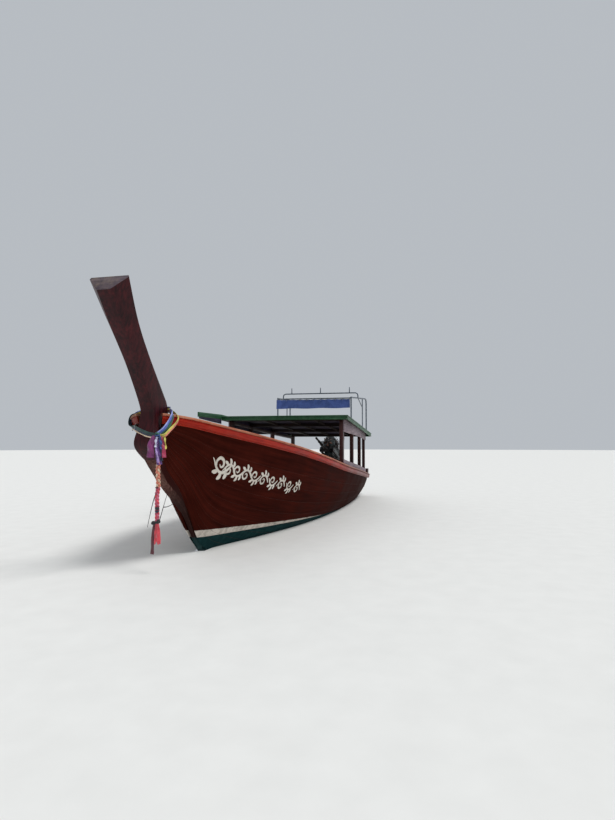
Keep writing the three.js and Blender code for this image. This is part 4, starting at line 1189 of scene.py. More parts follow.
@dataclass(frozen=True)
class HullLines:
    """The hull's lines: each section runs from the keel through the bilge to the sheer."""

    sections: tuple[tuple[float, ...], ...] = (
        # keel x, keel z, bilge y, bilge z, sheer x, sheer y, sheer z, in metres
        (-4.520, -0.205, 0.780, -0.160, -5.300, 0.850, 0.540),
        (-3.400, -0.290, 0.900, -0.260, -4.000, 0.992, 0.632),
        (-1.800, -0.330, 0.960, -0.300, -2.100, 1.142, 0.782),
        (-0.200, -0.340, 0.940, -0.300, -0.300, 1.176, 0.948),
        (1.200, -0.310, 0.780, -0.260, 1.200, 1.136, 1.134),
        (2.400, -0.240, 0.520, -0.150, 2.500, 1.010, 1.308),
        (3.300, -0.140, 0.280, 0.040, 3.600, 0.792, 1.457),
        (3.900, -0.010, 0.130, 0.260, 4.400, 0.566, 1.570),
        (4.330, 0.500, 0.080, 0.760, 4.900, 0.390, 1.649),
        (4.850, 0.870, 0.080, 1.080, 5.140, 0.268, 1.684),
        (5.150, 1.140, 0.090, 1.400, 5.262, 0.140, 1.702),
    )
    rabbet: float = 0.075  # half width of stem and keel where the planks land
    least_half: float = 0.047  # how near the planks come to the middle line
    rail_depth: float = 0.088
    first: float = 0.004
    last: float = 0.985
    stern_run: float = 0.03773  # the stretch of lines that is carried on aft of the first station

    def row(self, u: float) -> list[float]:
        """The section at a station, eased between the table's rows.

        Args:
            u: 0 at the transom, 1 at the stem head.

        Returns:
            The seven numbers of a section.
        """
        place = u * (len(self.sections) - 1)
        i = max(0, min(int(place), len(self.sections) - 2))
        return eased(self.sections, i, place - i)

    def point(self, u: float, t: float) -> Vector:
        """A point on the outside of the port planks.

        Args:
            u: the station; below the first one the lines run on straight.
            t: 0 at the keel, 1 at the sheer.

        Returns:
            The point.
        """
        if u < self.first:
            near, far = self.point(self.first, t), self.point(self.first + self.stern_run, t)
            return near + (near - far) * ((self.first - u) / self.stern_run)
        keel_x, keel_z, bilge_y, bilge_z, sheer_x, sheer_y, sheer_z = self.row(u)
        a, b, c = (1 - t) ** 2, 2 * t * (1 - t), t * t
        return Vector((a * keel_x + b * (keel_x + sheer_x) / 2 + c * sheer_x,
                       b * bilge_y + c * sheer_y,
                       a * keel_z + b * bilge_z + c * sheer_z))

    def inward(self, u: float, t: float) -> Vector:
        """The direction into the hull at a point of the port side.

        Args:
            u: the station.
            t: the place on the section.

        Returns:
            A unit vector.
        """
        u = max(u, self.first)
        along = self.point(min(1, u + 1e-3), t) - self.point(max(0, u - 1e-3), t)
        up = self.point(u, min(1, t + 1e-3)) - self.point(u, max(0, t - 1e-3))
        n = along.cross(up).normalized()
        return -n if n.y > 0 else n

    def section(self, u: float, heights: Sequence[float]) -> list[float]:
        """Turns heights into places on a section.

        Args:
            u: the station.
            heights: 0 at the rabbet, 1 at the rub rail's lower edge, 2 at the sheer.

        Returns:
            The places t.
        """
        low = self.search(lambda t: self.point(u, t).y > self.rabbet)
        top = self.point(u, 1)
        rail = self.search(lambda t: (self.point(u, t) - top).length < self.rail_depth)
        return [low + (rail - low) * h if h <= 1 else rail + (1 - rail) * (h - 1) for h in heights]

    @staticmethod
    def search(passed: Callable[[float], bool]) -> float:
        """The place between 0 and 1 where a test starts to hold.

        Args:
            passed: the test.

        Returns:
            The place.
        """
        low, high = 0.0, 1.0
        for _ in range(24):
            middle = (low + high) / 2
            low, high = (low, middle) if passed(middle) else (middle, high)
        return (low + high) / 2

    def skin(self, u: float, t: float, inset: float, side: int) -> Vector:
        """A point at a depth under the outside of the planks.

        Args:
            u: the station.
            t: the place on the section.
            inset: the depth, outside if negative.
            side: 1 for port, -1 for starboard.

        Returns:
            The point.
        """
        n = self.inward(u, t)
        if t > 0.999:
            n = Vector((n.x, n.y, 0))
            n /= n.length_squared
        p = self.point(u, t) + n * inset
        return Vector((p.x, max(p.y, self.least_half) * side, p.z))

    @staticmethod
    def overhang(u: float) -> float:
        """The share of a rail's overhang that is left; it is planed away towards the stem head."""
        f = ramp(u, 0.74, 0.20)
        return 1 - 0.6 * f * f * (3 - 2 * f)


LINES = HullLines()


@dataclass
class Hull:
    """Planks, keel, rails and the timbers inside."""

    stations: int = 150
    strakes: tuple[float, ...] = (0.0, 0.12, 0.24, 0.36, 0.47, 0.58, 0.69, 0.79, 0.89, 2.0)
    plank: float = 0.032
    rail_thick: float = 0.042
    cap_width: float = 0.120
    cap_thick: float = 0.026
    cap_least_half: float = 0.048  # how near the cap rails come to the middle line
    keel_half: float = 0.050  # where the lowest strake starts beside the keel
    rail_tail: float = 0.03  # the stretch of stations that the rails run on past the transom

    def build(self) -> None:
        """Builds the planks, rails and keel and dresses the other timbers."""
        for side_name in SIDES:
            self.planks(side_name)
            self.rub_rail(side_name)
            self.cap_rail(side_name)
        self.keel_timber()
        for node, finish in {
            "transom": FRAME_VARNISH, "stem": STEM_WOOD,
            "ribs_aft": BARE_WOOD_ACROSS, "ribs_middle": BARE_WOOD_ACROSS,
            "ribs_fore": BARE_WOOD_ACROSS, "sole_boards": DECK_BOARDS, "aft_deck": DECK_BOARDS,
            "foredeck": DECK_BOARDS, "thwarts": BARE_WOOD_ACROSS, "mooring_bitt": POST_WOOD,
            "engine_beam": POST_WOOD,
        }.items():
            softened(node, finish)

    def planks(self, side_name: str) -> None:
        """Builds one side's strakes, each an own board with eased edges that leave a seam."""
        side = SIDES[side_name]
        rng = random.Random(SEED + side)
        us = spread(LINES.first, LINES.last, self.stations)
        edges = [LINES.section(u, self.strakes) for u in us]
        for u, ts in zip(us, edges):
            ts[0] = LINES.search(lambda t, u=u: LINES.point(u, t).y > self.keel_half)
        boards = []
        for k in range(len(self.strakes) - 1):
            steps = 6 if k == len(self.strakes) - 2 else 4
            rings = []
            for u, ts in zip(us, edges):
                across = spread(ts[k], ts[k + 1], steps)
                outer = [LINES.skin(u, t, 0.0, side) for t in across]
                inner = [LINES.skin(u, t, self.plank, side) for t in reversed(across)]
                rings.append(outer + inner)
            board = Work.loft(f"strake_{side_name}_{k}", rings)
            board.tone(rng.uniform(-0.28, 0.2))
            slide = rng.uniform(0, 40)
            for corner in board.mesh.uv_layers["grain"].data:
                corner.uv = (corner.uv[0] + slide, corner.uv[1] + slide)
            boards.append(board)
        hull = Work.joined(boards, f"hull_planks_{side_name}").ease(0.0016, 1, 50).smooth(30)
        hull.two_finishes(HULL_VARNISH, INSIDE_PAINT, lambda centre, normal: normal.z > 0.02)
        hull.fit("boat", None, "hull_varnish",
                 (f"bottom_planking_{side_name}", f"topside_planking_{side_name}"))

    @staticmethod
    def keel_timber() -> None:
        """The keel, with its fore end faired into the stem."""
        start, length, left = 3.45, 0.45, 0.28
        keel = Work.copy_of("keel_timber", "keel")
        for corner in keel.mesh.vertices:
            corner.co.y *= 1 - (1 - left) * ramp(corner.co.x, start, length)
        keel.ease(0.003, 2, 32).smooth(34)
        keel.fit("boat", FRAME_VARNISH, "hull_varnish", ("keel",))

    def rail_stations(self) -> list[float]:
        """The rails' stations, which run on past the transom."""
        return spread(-self.rail_tail, LINES.last + 0.002, self.stations)

    def rub_rail(self, side_name: str) -> None:
        """Builds one side's rub rail: a rounded moulding with a bead along its lower edge."""
        side = SIDES[side_name]
        profile = (
            # height on the section from 1 to 2, distance outside the planks
            (1.0, -0.0005), (1.0, 0.022), (1.04, 0.031), (1.12, 0.034), (1.19, 0.031), (1.22, 0.028),
            (1.27, 0.036), (1.34, 0.0415), (1.55, 0.0425), (1.78, 0.0415), (1.9, 0.038), (1.97, 0.030),
            (2.0, 0.022), (2.0, -0.0005),
        )
        rings = []
        for u in self.rail_stations():
            ts = LINES.section(max(u, LINES.first), [h for h, _ in profile])
            left = LINES.overhang(u)
            rings.append([LINES.skin(u, t, -out * left, side) for t, (_, out) in zip(ts, profile)])
        rail = Work.loft(f"rub_rail_{side_name}_moulding", rings).smooth(40)
        # painted shade on the starboard rail's fore end
        if side < 0:
            self.paint_tip_shade(rail)
        rail.fit("boat", RAIL_PAINT, "rail_paint", (f"rub_rail_{side_name}",))

    @staticmethod
    def paint_tip_shade(work: Work) -> None:
        """Darkens a rail towards the prow with painted shade, where its fore end lies in shadow."""
        start, length, darkest = 4.5, 0.45, -1.25
        work.tone(0.0)
        tones = work.mesh.attributes["board_tone"].data
        for corner, tone in zip(work.mesh.vertices, tones):
            tone.value = darkest * ramp(corner.co.x, start, length)

    def cap_rail(self, side_name: str) -> None:
        """Builds one side's cap rail: a flat board with rounded edges on the sheer."""
        side = SIDES[side_name]
        joint = 0.0004
        low, high = joint, joint + self.cap_thick
        edge = self.rail_thick + 0.008
        profile = (
            # distance in from the sheer, height above it
            (-edge + 0.006, low), (-edge, low + 0.008), (-edge, high - 0.009), (-edge + 0.008, high),
            (self.cap_width - edge - 0.008, high), (self.cap_width - edge, high - 0.009),
            (self.cap_width - edge, low + 0.008), (self.cap_width - edge - 0.006, low),
        )
        rings = []
        for u in self.rail_stations():
            sheer = LINES.point(u, 1)
            n = LINES.inward(u, 1)
            n = Vector((n.x, n.y, 0)).normalized()
            ring = []
            for distance, height in profile:
                p = sheer + n * (distance * LINES.overhang(u) if distance < 0 else distance)
                ring.append(Vector((p.x, max(p.y, self.cap_least_half) * side, p.z + height)))
            rings.append(ring)
        cap = Work.loft(f"cap_rail_{side_name}_board", rings).smooth(40)
        # painted shade on the starboard cap's fore end
        if side < 0:
            self.paint_tip_shade(cap)
        cap.fit("boat", CAP_WOOD, "cap_wood", (f"cap_rail_{side_name}",))


@dataclass
class Prow:
    """The tall raked prow and its end face."""

    outline: tuple[tuple[float, ...], ...] = (
        # front x, front z, half width in front, back x, back z, half width behind, in metres
        (5.180, 1.180, 0.066, 4.960, 1.180, 0.062),
        (5.300, 1.262, 0.090, 4.975, 1.300, 0.064),
        (5.388, 1.345, 0.108, 4.990, 1.420, 0.068),
        (5.402, 1.430, 0.110, 5.000, 1.550, 0.084),
        (5.352, 1.560, 0.096, 5.010, 1.690, 0.104),
        (5.322, 1.700, 0.084, 5.060, 1.830, 0.116),
        (5.362, 1.830, 0.078, 5.180, 1.960, 0.124),
        (5.650, 2.225, 0.075, 5.560, 2.345, 0.146),
        (5.935, 2.545, 0.075, 5.835, 2.655, 0.172),
        (6.210, 2.882, 0.076, 6.100, 3.036, 0.217),
    )
    steps: int = 6
    corner: float = 0.004
    end_middle: tuple[float, float, float] = (6.155, 0, 2.96)
    end_slope: tuple[float, float, float] = (-0.11, 0, 0.154)

    def build(self) -> None:
        """Builds the prow's timber."""
        rings = []
        last = len(self.outline) - 2
        for i in range(last + 1):
            for step in range(self.steps + (i == last)):
                rings.append(self.ring(*eased(self.outline, i, step / self.steps)))
        prow = Work.loft("prow_timber", rings).ease(self.corner, 3, 24).smooth(28)
        slope = Vector(self.end_slope).normalized()
        away = Vector((slope.z, 0, -slope.x))

        def on_end(centre: Vector, normal: Vector) -> bool:
            """Whether a face is part of the prow's end."""
            return abs((centre - Vector(self.end_middle)).dot(away)) < 0.012 and normal.dot(away) > 0.5

        prow.two_finishes(PROW_VARNISH, PROW_END, on_end)
        prow.fit("boat", None, "prow_varnish", ("prow",))

    @staticmethod
    def ring(front_x: float, front_z: float, front_half: float, back_x: float, back_z: float,
             back_half: float) -> list[Vector]:
        """One section of the prow.

        Args:
            front_x: the front face's place along the boat.
            front_z: its height.
            front_half: half its width.
            back_x: the back face's place along the boat.
            back_z: its height.
            back_half: half its width.

        Returns:
            The section's corners.
        """
        front, back = Vector((front_x, 0, front_z)), Vector((back_x, 0, back_z))

        def at(share: float, half: float) -> Vector:
            """A corner at a share of the way back."""
            p = front.lerp(back, share)
            return Vector((p.x, half, p.z))

        shoulder, chamfer = 0.88, 0.01
        right = [at(0, front_half), at(shoulder, back_half), at(1, back_half - chamfer)]
        left = [at(1, chamfer - back_half), at(shoulder, -back_half), at(0, -front_half)]
        return right + left


@dataclass
class Sashes:
    """The ribbons tied round the prow and the tails that hang from their knot."""

    knot: tuple[float, float, float] = (5.388, 0.166, 1.478)
    heart: tuple[float, float, float] = (5.20, 0.0, 1.46)  # the bands face away from here
    held_by: tuple[str, ...] = ("prow", "rub_rail_port", "rub_rail_starboard")

    def build(self) -> None:
        """Builds the bands, the knot and the tails."""
        made = self.bands() + self.wraps() + self.tails() + self.garland()
        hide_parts("sash_band")
        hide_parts("sash_tails")

    def strip(self, name: str, colour: str, width: float, path: Sequence[Sequence[float]],
              facing: Sequence[float], held: str = "hung", rests_on: Sequence[str] = (),
              **shape) -> Work:
        """Builds one ribbon and finishes it.

        Args:
            name: its name.
            colour: its satin.
            width: its width.
            path: a few points of its middle line.
            facing: the way that its face looks.
            held: how it is held; not used.
            rests_on: what it hangs from; not used.
            shape: its waves and twist.

        Returns:
            The piece.
        """
        work = Work.ribbon(name, path, width, facing, **shape).smooth(60)
        work.fit("boat", SATIN[colour], "sash_cloth")
        return cloth(work)

    def bands(self) -> list[Work]:
        """Builds the ribbons that go round the prow and over the rails."""
        behind = [(5.100, 0.152, 1.764), (5.040, 0.128, 1.778), (5.012, 0.0, 1.782),
                  (5.026, -0.122, 1.778), (5.034, -0.210, 1.752), (5.038, -0.290, 1.724)]
        starboard = [(5.038, -0.348, 1.706), (5.042, -0.366, 1.668), (5.052, -0.358, 1.612),
                     (5.078, -0.318, 1.578), (5.130, -0.258, 1.584), (5.200, -0.204, 1.590),
                     (5.280, -0.158, 1.586), (5.362, -0.118, 1.566), (5.412, 0.034, 1.508),
                     (5.408, 0.104, 1.490), (5.392, 0.158, 1.482)]
        rail_end = [(5.388, 0.166, 1.482), (5.335, 0.220, 1.550), (5.288, 0.248, 1.625),
                    (5.250, 0.258, 1.680), (5.212, 0.248, 1.724), (5.160, 0.200, 1.748)]
        aft_of_it = [(5.390, 0.186, 1.474), (5.374, 0.222, 1.478), (5.345, 0.245, 1.498),
                     (5.285, 0.263, 1.548), (5.225, 0.282, 1.598), (5.180, 0.301, 1.650),
                     (5.164, 0.294, 1.692), (5.152, 0.250, 1.726), (5.128, 0.192, 1.750)]
        table = (
            # satin, path, width, shift across, lift, waves
            ("violet_blue", rail_end + behind, 0.034, -0.008, 0.004, 9.0),
            ("pale_blue", rail_end + behind, 0.014, -0.026, 0.007, 7.0),
            ("forest_green", rail_end + behind, 0.034, 0.021, 0.006, 6.0),
            # on the starboard side dark green and navy run in place of the blues: painted shade
            ("deep_green", behind[2:] + starboard, 0.030, -0.008, 0.005, 9.0),
            ("navy", behind[2:] + starboard, 0.034, 0.010, 0.002, 7.0),
            ("yellow", aft_of_it + behind, 0.024, -0.008, 0.003, 6.0),
            ("salmon", aft_of_it + behind, 0.018, 0.011, 0.001, 5.0),
            ("cream", behind[3:] + starboard[:-1], 0.012, 0.030, 0.004, 5.0),
        )
        return [self.strip(f"band_{colour}", colour, width, path, self.heart, "gathered", self.held_by,
                           flutter=0.0035, waves=waves, steps=90, cup=0.1, shift=shift, lift=lift,
                           away=True, level=True)
                for colour, path, width, shift, lift, waves in table]

    def wraps(self) -> list[Work]:
        """Builds the knot: short turns of ribbon over and round each other."""
        made = []
        table = (
            # satin, ring radius, width, tilt, height
            ("navy", 0.030, 0.030, 0.25, 0.0),
            ("green", 0.026, 0.024, -0.35, 0.012),
            ("deep_blue", 0.033, 0.018, 0.1, -0.014),
        )
        for k, (colour, radius, width, tilt, height) in enumerate(table):
            middle = Vector(self.knot) + Vector((0.004, 0, height))
            turn = Matrix.Rotation(tilt, 3, "X")
            path = [middle + turn @ Vector((radius * 0.8 * math.cos(a), radius * math.sin(a), 0.003 * a))
                    for a in around(12, k, closed=True)]
            made.append(self.strip(f"knot_turn_{colour}", colour, width, path, middle, "gathered",
                                   flutter=0.002, waves=5.0, steps=40, cup=0.3, away=True))
        return made

    def tails(self) -> list[Work]:
        """Builds the loose ends that hang from the knot."""
        ahead = (1.0, 0.25, 0.1)
        table = (
            # satin, width, end width, path
            ("white", 0.026, 0.020, [(5.398, 0.168, 1.478), (5.428, 0.164, 1.43), (5.430, 0.160, 1.355)]),
            ("deep_blue", 0.034, 0.030, [(5.395, 0.176, 1.482), (5.410, 0.205, 1.445), (5.418, 0.218, 1.40),
                                         (5.415, 0.226, 1.335)]),
            ("magenta", 0.060, 0.088, [(5.398, 0.150, 1.480), (5.424, 0.120, 1.435), (5.428, 0.100, 1.36),
                                       (5.424, 0.096, 1.245)]),
            ("purple", 0.056, 0.060, [(5.394, 0.170, 1.470), (5.412, 0.178, 1.38), (5.414, 0.188, 1.28),
                                      (5.410, 0.203, 1.17)]),
            ("lilac", 0.020, 0.026, [(5.400, 0.164, 1.440), (5.424, 0.168, 1.34), (5.424, 0.184, 1.25),
                                     (5.418, 0.190, 1.19)]),
            ("crimson", 0.024, 0.046, [(5.388, 0.190, 1.476), (5.404, 0.226, 1.43), (5.408, 0.246, 1.35),
                                       (5.404, 0.252, 1.245)]),
            ("yellow", 0.016, 0.020, [(5.380, 0.190, 1.492), (5.392, 0.240, 1.472), (5.400, 0.256, 1.43),
                                      (5.400, 0.266, 1.335)]),
            ("navy", 0.022, 0.030, [(5.392, 0.180, 1.474), (5.400, 0.206, 1.40), (5.402, 0.214, 1.30),
                                    (5.400, 0.222, 1.21)]),
        )
        return [self.strip(f"tail_{colour}", colour, width, path, ahead, flutter=0.008, waves=2.2,
                           cup=0.22, turn=0.3 * (-1) ** k, end_width=end)
                for k, (colour, width, end, path) in enumerate(table)]

    def garland(self) -> list[Work]:
        """Builds the plait, its ties and the tassel below them."""
        made = []
        spine = [(5.408, 0.188, 1.20), (5.408, 0.182, 1.10), (5.410, 0.190, 0.94), (5.410, 0.176, 0.84),
                 (5.410, 0.180, 0.70), (5.410, 0.181, 0.545)]
        points = curve_through(spine, 60)
        strands = (("salmon", "pink"), ("cream", "coral"), ("salmon", "pink"))
        for strand, (upper, lower) in enumerate(strands):
            for part, (start, end, satin) in enumerate(((0, 26, upper), (25, 60, lower))):
                path = []
                for k in range(start, end + 1):
                    turn = k * 0.62 + strand * 2 * math.pi / 3
                    path.append(points[k] + Vector((0.008 * math.sin(2 * turn), 0.015 * math.sin(turn), 0)))
                made.append(self.strip(f"plait_{strand}_{part}", satin, 0.021, path, (1, 0.2, 0),
                                       "gathered", flutter=0.001, waves=9.0, cup=0.22, thick=0.005,
                                       steps=90))
        for name, colour, height, radius, width in (
            ("upper_tie", "black", 0.705, 0.024, 0.030), ("middle_tie", "navy", 0.672, 0.022, 0.024),
            ("lower_tie", "black", 0.556, 0.026, 0.020), ("chain_tie", "maroon", 0.925, 0.023, 0.014),
        ):
            middle = Vector((5.410, 0.181, height))
            ring = [middle + Vector((radius * 0.8 * math.cos(a), radius * math.sin(a), 0))
                    for a in around(10, closed=True)]
            made.append(self.strip(name, colour, width, ring, middle, "gathered", ("plait_0_1",),
                                   flutter=0.001, waves=4.0, cup=0.2, away=True))
        made += [self.strip(f"bow_loop_{n}", "black", 0.020, path, (1, 0.2, 0.2), "gathered",
                            ("lower_tie",), flutter=0.002, waves=2.0)
                 for n, path in enumerate((
                     [(5.432, 0.184, 0.560), (5.440, 0.212, 0.585), (5.436, 0.224, 0.566),
                      (5.428, 0.190, 0.552)],
                     [(5.432, 0.178, 0.560), (5.440, 0.148, 0.566), (5.436, 0.138, 0.545),
                      (5.428, 0.172, 0.552)]))]
        made.append(self.strip("streamer", "maroon", 0.030, [(5.414, 0.164, 0.560), (5.408, 0.140, 0.48),
                                                             (5.404, 0.130, 0.36), (5.400, 0.121, 0.218)],
                               (1, 0.3, 0), rests_on=("lower_tie",), flutter=0.004, waves=2.0, cup=0.1,
                               turn=0.5, end_width=0.044))
        self.twigs()
        rng = random.Random(SEED)
        threads = []
        for n in range(15):
            across, deep = rng.uniform(-1, 1), rng.uniform(-1, 1)
            start = Vector((5.410 + 0.008 * deep, 0.184 + 0.014 * across, 0.550))
            low = Vector((5.412 + 0.018 * deep, 0.193 + 0.034 * across, rng.uniform(0.325, 0.37)))
            middle = start.lerp(low, 0.5) + Vector((0.004 * deep, 0.006 * across, 0))
            threads.append(Work.ribbon("tassel", [start, middle, low], 0.013, (1, 0.3 * across, 0),
                                       flutter=0.003, waves=1.5 + rng.random(), steps=16))
        tassel = Work.joined(threads).smooth(60)
        tassel.fit("boat", SATIN["coral"], "sash_cloth")
        made.append(cloth(tassel))
        return made

    @staticmethod
    def twigs() -> None:
        """Builds two dry twigs tucked into the garland's ties, one of them forked."""
        stems = []
        for path in (
            [(5.414, 0.166, 0.860), (5.420, 0.140, 0.780), (5.418, 0.104, 0.640), (5.412, 0.071, 0.501)],
            [(5.412, 0.198, 0.548), (5.420, 0.228, 0.620), (5.420, 0.262, 0.735), (5.412, 0.297, 0.862)],
            [(5.420, 0.258, 0.722), (5.424, 0.300, 0.726), (5.420, 0.345, 0.745), (5.412, 0.384, 0.772)],
        ):
            points = curve_through(path, 14)
            radii = [0.0048 - 0.0028 * k / 14 + 0.0006 * (k % 5 == 2) for k in range(15)]
            stems.append(Work.tube("garland_twigs", points, 0.004, 10, radii))
        Work.joined(stems).smooth(50).fit("boat", DRY_TWIG, "bare_wood")


@dataclass
class BowOrnament:
    """A running scroll in white brush paint on each side of the bow."""

    film: float = 0.0008
    start: tuple[float, float] = (0.702, 0.822)  # station and place on the section, at the bow end
    end: tuple[float, float] = (0.462, 0.785)
    scrolls: int = 10

    def build(self) -> None:
        """Paints both sides."""
        for side_name, side in SIDES.items():
            strokes = []
            for k in range(self.scrolls):
                strokes += self.scroll(k, side)
            scroll = Work.joined(strokes, f"bow_scroll_{side_name}").smooth(60)
            scroll.fit("boat", WHITE_PAINT, "sash_cloth")

    def centre(self, share: float) -> tuple[float, float]:
        """A place along the band, as station and place on the section."""
        return tuple(a + (b - a) * share for a, b in zip(self.start, self.end))

    def scroll(self, k: int, side: int) -> list[Work]:
        """Half a wave of the vine, with the curl and the three leaves that it bears.

        Args:
            k: which half wave, from the bow; every other one hangs.
            side: 1 for port, -1 for starboard.

        Returns:
            Its strokes.
        """
        share = (k + 0.5) / self.scrolls
        size = 0.158 if k == 0 else 0.112 - 0.010 * share
        u, t = self.centre(share)
        way = 1 if k % 2 else -1
        vine = ((-1.22, -0.30), (-0.86, 0.14), (-0.36, 0.50), (0.14, 0.52), (0.62, 0.20), (0.98, -0.22),
                (1.22, -0.42))
        curl = ((0.58, 0.22), (0.66, -0.26), (0.30, -0.62), (-0.16, -0.50), (-0.26, -0.10), (0.02, 0.10),
                (0.22, -0.10))
        leaves = (
            ((-0.62, 0.34), (-0.74, 0.66), (-0.58, 1.02)),
            ((-0.10, 0.54), (-0.06, 0.92), (0.24, 1.24)),
            ((0.36, 0.42), (0.62, 0.66), (1.02, 0.80)),
        )
        strokes = [(vine, 0.28), (curl, 0.27)] + [(leaf, 0.38) for leaf in leaves]
        return [self.stroke([(size * x, size * y * way) for x, y in line], size * wide, u, t, side)
                for line, wide in strokes]

    def stroke(self, line: Sequence[tuple[float, float]], width: float, u: float, t: float,
               side: int) -> Work:
        """A brush stroke on the planks, swelling in its middle.

        Args:
            line: its middle line, in metres from the scroll's centre.
            width: its greatest width.
            u: the centre's station.
            t: the centre's place on the section.
            side: 1 for port, -1 for starboard.

        Returns:
            The stroke, a thin film that stands on the planks.
        """
        steps = 28
        across_u = (LINES.point(u + 0.01, t) - LINES.point(u, t)).length / 0.01
        across_t = (LINES.point(u, t + 0.02) - LINES.point(u, t)).length / 0.02
        points = curve_through([(x, y, 0) for x, y in line], steps)
        rings = []
        for k, p in enumerate(points):
            share = k / steps
            ahead = (points[min(k + 1, steps)] - points[max(k - 1, 0)]).normalized()
            half = width * (0.18 + 0.82 * math.sin(math.pi * min(1, 0.08 + share * 0.9)) ** 0.7) / 2
            ring = []
            for out in (self.film, -0.0004):
                row = [p + Vector((-ahead.y, ahead.x, 0)) * (half * s) for s in (-1, -0.5, 0, 0.5, 1)]
                row = [LINES.skin(u + q.x / across_u, t + q.y / across_t, -out, side) for q in row]
                ring += row if out > 0 else row[::-1]
            rings.append(ring)
        return Work.loft("stroke", rings)


@dataclass
class Roof:
    """Roof boards, edges, posts and side boards."""

    front_x: float = 0.020
    aft_x: float = -4.150
    front_half: float = 1.262
    aft_half: float = 1.108
    front_z: float = 1.930
    slope: float = 0.067
    thick: float = 0.024
    lip: float = 0.006
    edge: float = 0.0204  # the fascia and its joint
    seam_x: float = -2.400
    boards: int = 11
    starboard_header: tuple[float, float] = (0.326, 0.081)  # depth at its fore end, taper

    def build(self) -> None:
        """Lays the roof boards and dresses what carries them."""
        self.lay_boards("roof_panel_fore", self.seam_x + 0.0008, self.front_x - self.edge)
        self.lay_boards("roof_panel_aft", self.aft_x + self.edge, self.seam_x - 0.0008)
        self.edge_moulding("roof_edge_bead", -0.001, -0.023, 0.009)
        self.edge_moulding("roof_edge_drip", -0.064, -0.087, 0.006)
        for node in ("roof_fascia", "roof_edge_board"):
            softened(node, ROOF_PAINT)
        self.batten()
        softened("roof_framing", BEAM_WOOD)
        for side_name in SIDES:
            softened(f"posts_{side_name}", POST_WOOD)
            self.two_faced(f"header_board_{side_name}")
            self.two_faced(f"sill_board_{side_name}")

    def starboard_depth(self, x: float) -> float:
        """How far the starboard header hangs below the roof boards: it is cut to a taper."""
        return max(0.03, self.starboard_header[0] + (x + 0.11) * self.starboard_header[1])

    def two_faced(self, node: str) -> None:
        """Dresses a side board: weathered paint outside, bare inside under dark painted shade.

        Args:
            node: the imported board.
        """
        board = Work.copy_of(f"{node}_painted", node)
        if node == "header_board_starboard":
            for corner in board.mesh.vertices:
                under = self.top(corner.co.x) - self.thick
                if corner.co.z < under - 0.05:
                    corner.co.z = under - self.starboard_depth(corner.co.x)
        board.ease(0.003, 2, 40).smooth(36)
        # the inside faces get painted shade
        board.two_finishes(GREY_WOOD, SOFFIT_SHADE, lambda centre, normal: normal.y * centre.y < -0.3)
        board.fit("boat", None, "grey_wood", (node,))

    @staticmethod
    def batten() -> None:
        """Nails a batten along the underside of the loose edge board's fore end, dark with painted shade."""
        outer, inner, top = -1.288, -1.266, 1.8736
        depths = ((0.022, 0.096), (0.400, 0.074), (0.800, 0.046), (1.062, 0.028))
        rings = [Roof.board_end(x, outer, inner, top - depth, top) for x, depth in depths]
        board = Work.loft("edge_board_batten", rings).ease(0.004, 2, 40).smooth(34)
        # the batten's dark finish is painted shade
        board.fit("boat", SOFFIT_SHADE, "post_wood")

    @staticmethod
    def board_end(x: float, near: float, far: float, low: float, high: float) -> list[Vector]:
        """The four corners of a board's section across the boat.

        Args:
            x: its place along the boat.
            near: its first edge across the boat.
            far: its other edge.
            low: its underside.
            high: its top.

        Returns:
            The corners.
        """
        return [Vector((x, y, z)) for y, z in ((near, low), (near, high), (far, high), (far, low))]

    def top(self, x: float) -> float:
        """The height of the fascia's top edge."""
        return self.front_z - (self.front_x - x) * self.slope

    def half(self, x: float) -> float:
        """Half the roof's width."""
        share = (self.front_x - x) / (self.front_x - self.aft_x)
        return self.front_half + (self.aft_half - self.front_half) * share

    def lay_boards(self, node: str, start: float, end: float) -> None:
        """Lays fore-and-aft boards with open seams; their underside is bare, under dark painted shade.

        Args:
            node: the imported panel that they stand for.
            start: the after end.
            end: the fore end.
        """
        rng = random.Random(node)
        laid = []
        for k in range(self.boards):
            rings = []
            for x in (start, end):
                wide = self.half(x) - self.edge
                y0, y1 = (wide * (2 * (k + n) / self.boards - 1) for n in (0, 1))
                rings.append(self.board_end(x, y0, y1, self.top(x) - self.thick, self.top(x) - self.lip))
            board = Work.loft(f"{node}_board_{k}", rings).tone(rng.uniform(-0.25, 0.25))
            laid.append(board.ease(0.0022, 1, 40))
        roof = Work.joined(laid, f"{node}_boards")
        # the underside gets painted shade
        roof.two_finishes(ROOF_PAINT, SOFFIT_SHADE, lambda centre, normal: normal.z < -0.5)
        roof.fit("boat", None, "roof_paint", (node,))

    def edge_moulding(self, name: str, high: float, low: float, out: float) -> None:
        """A half-round moulding all round the fascia.

        Args:
            name: its name.
            high: its upper edge, from the fascia's top.
            low: its lower edge.
            out: how far it stands out.
        """
        profile = [(0.0, high)] + [(out * math.sin(a), (high + low) / 2 + (high - low) / 2 * math.cos(a))
                                   for a in (math.pi * n / 6 for n in range(1, 6))] + [(0.0, low)]
        profile += [(-0.002, low), (-0.002, high)]
        rings = []
        for along, across in ((1, 1), (0, 1), (0, -1), (1, -1), (1, 1)):
            x = self.front_x if along else self.aft_x
            way = 1 if along else -1
            rings.append([Vector((x + way * d, across * (self.half(x) + d), self.top(x) + z))
                          for d, z in profile])
        bead = Work.loft(name, rings, caps=False).smooth(50)
        bead.fit("boat", ROOF_PAINT, "roof_paint")


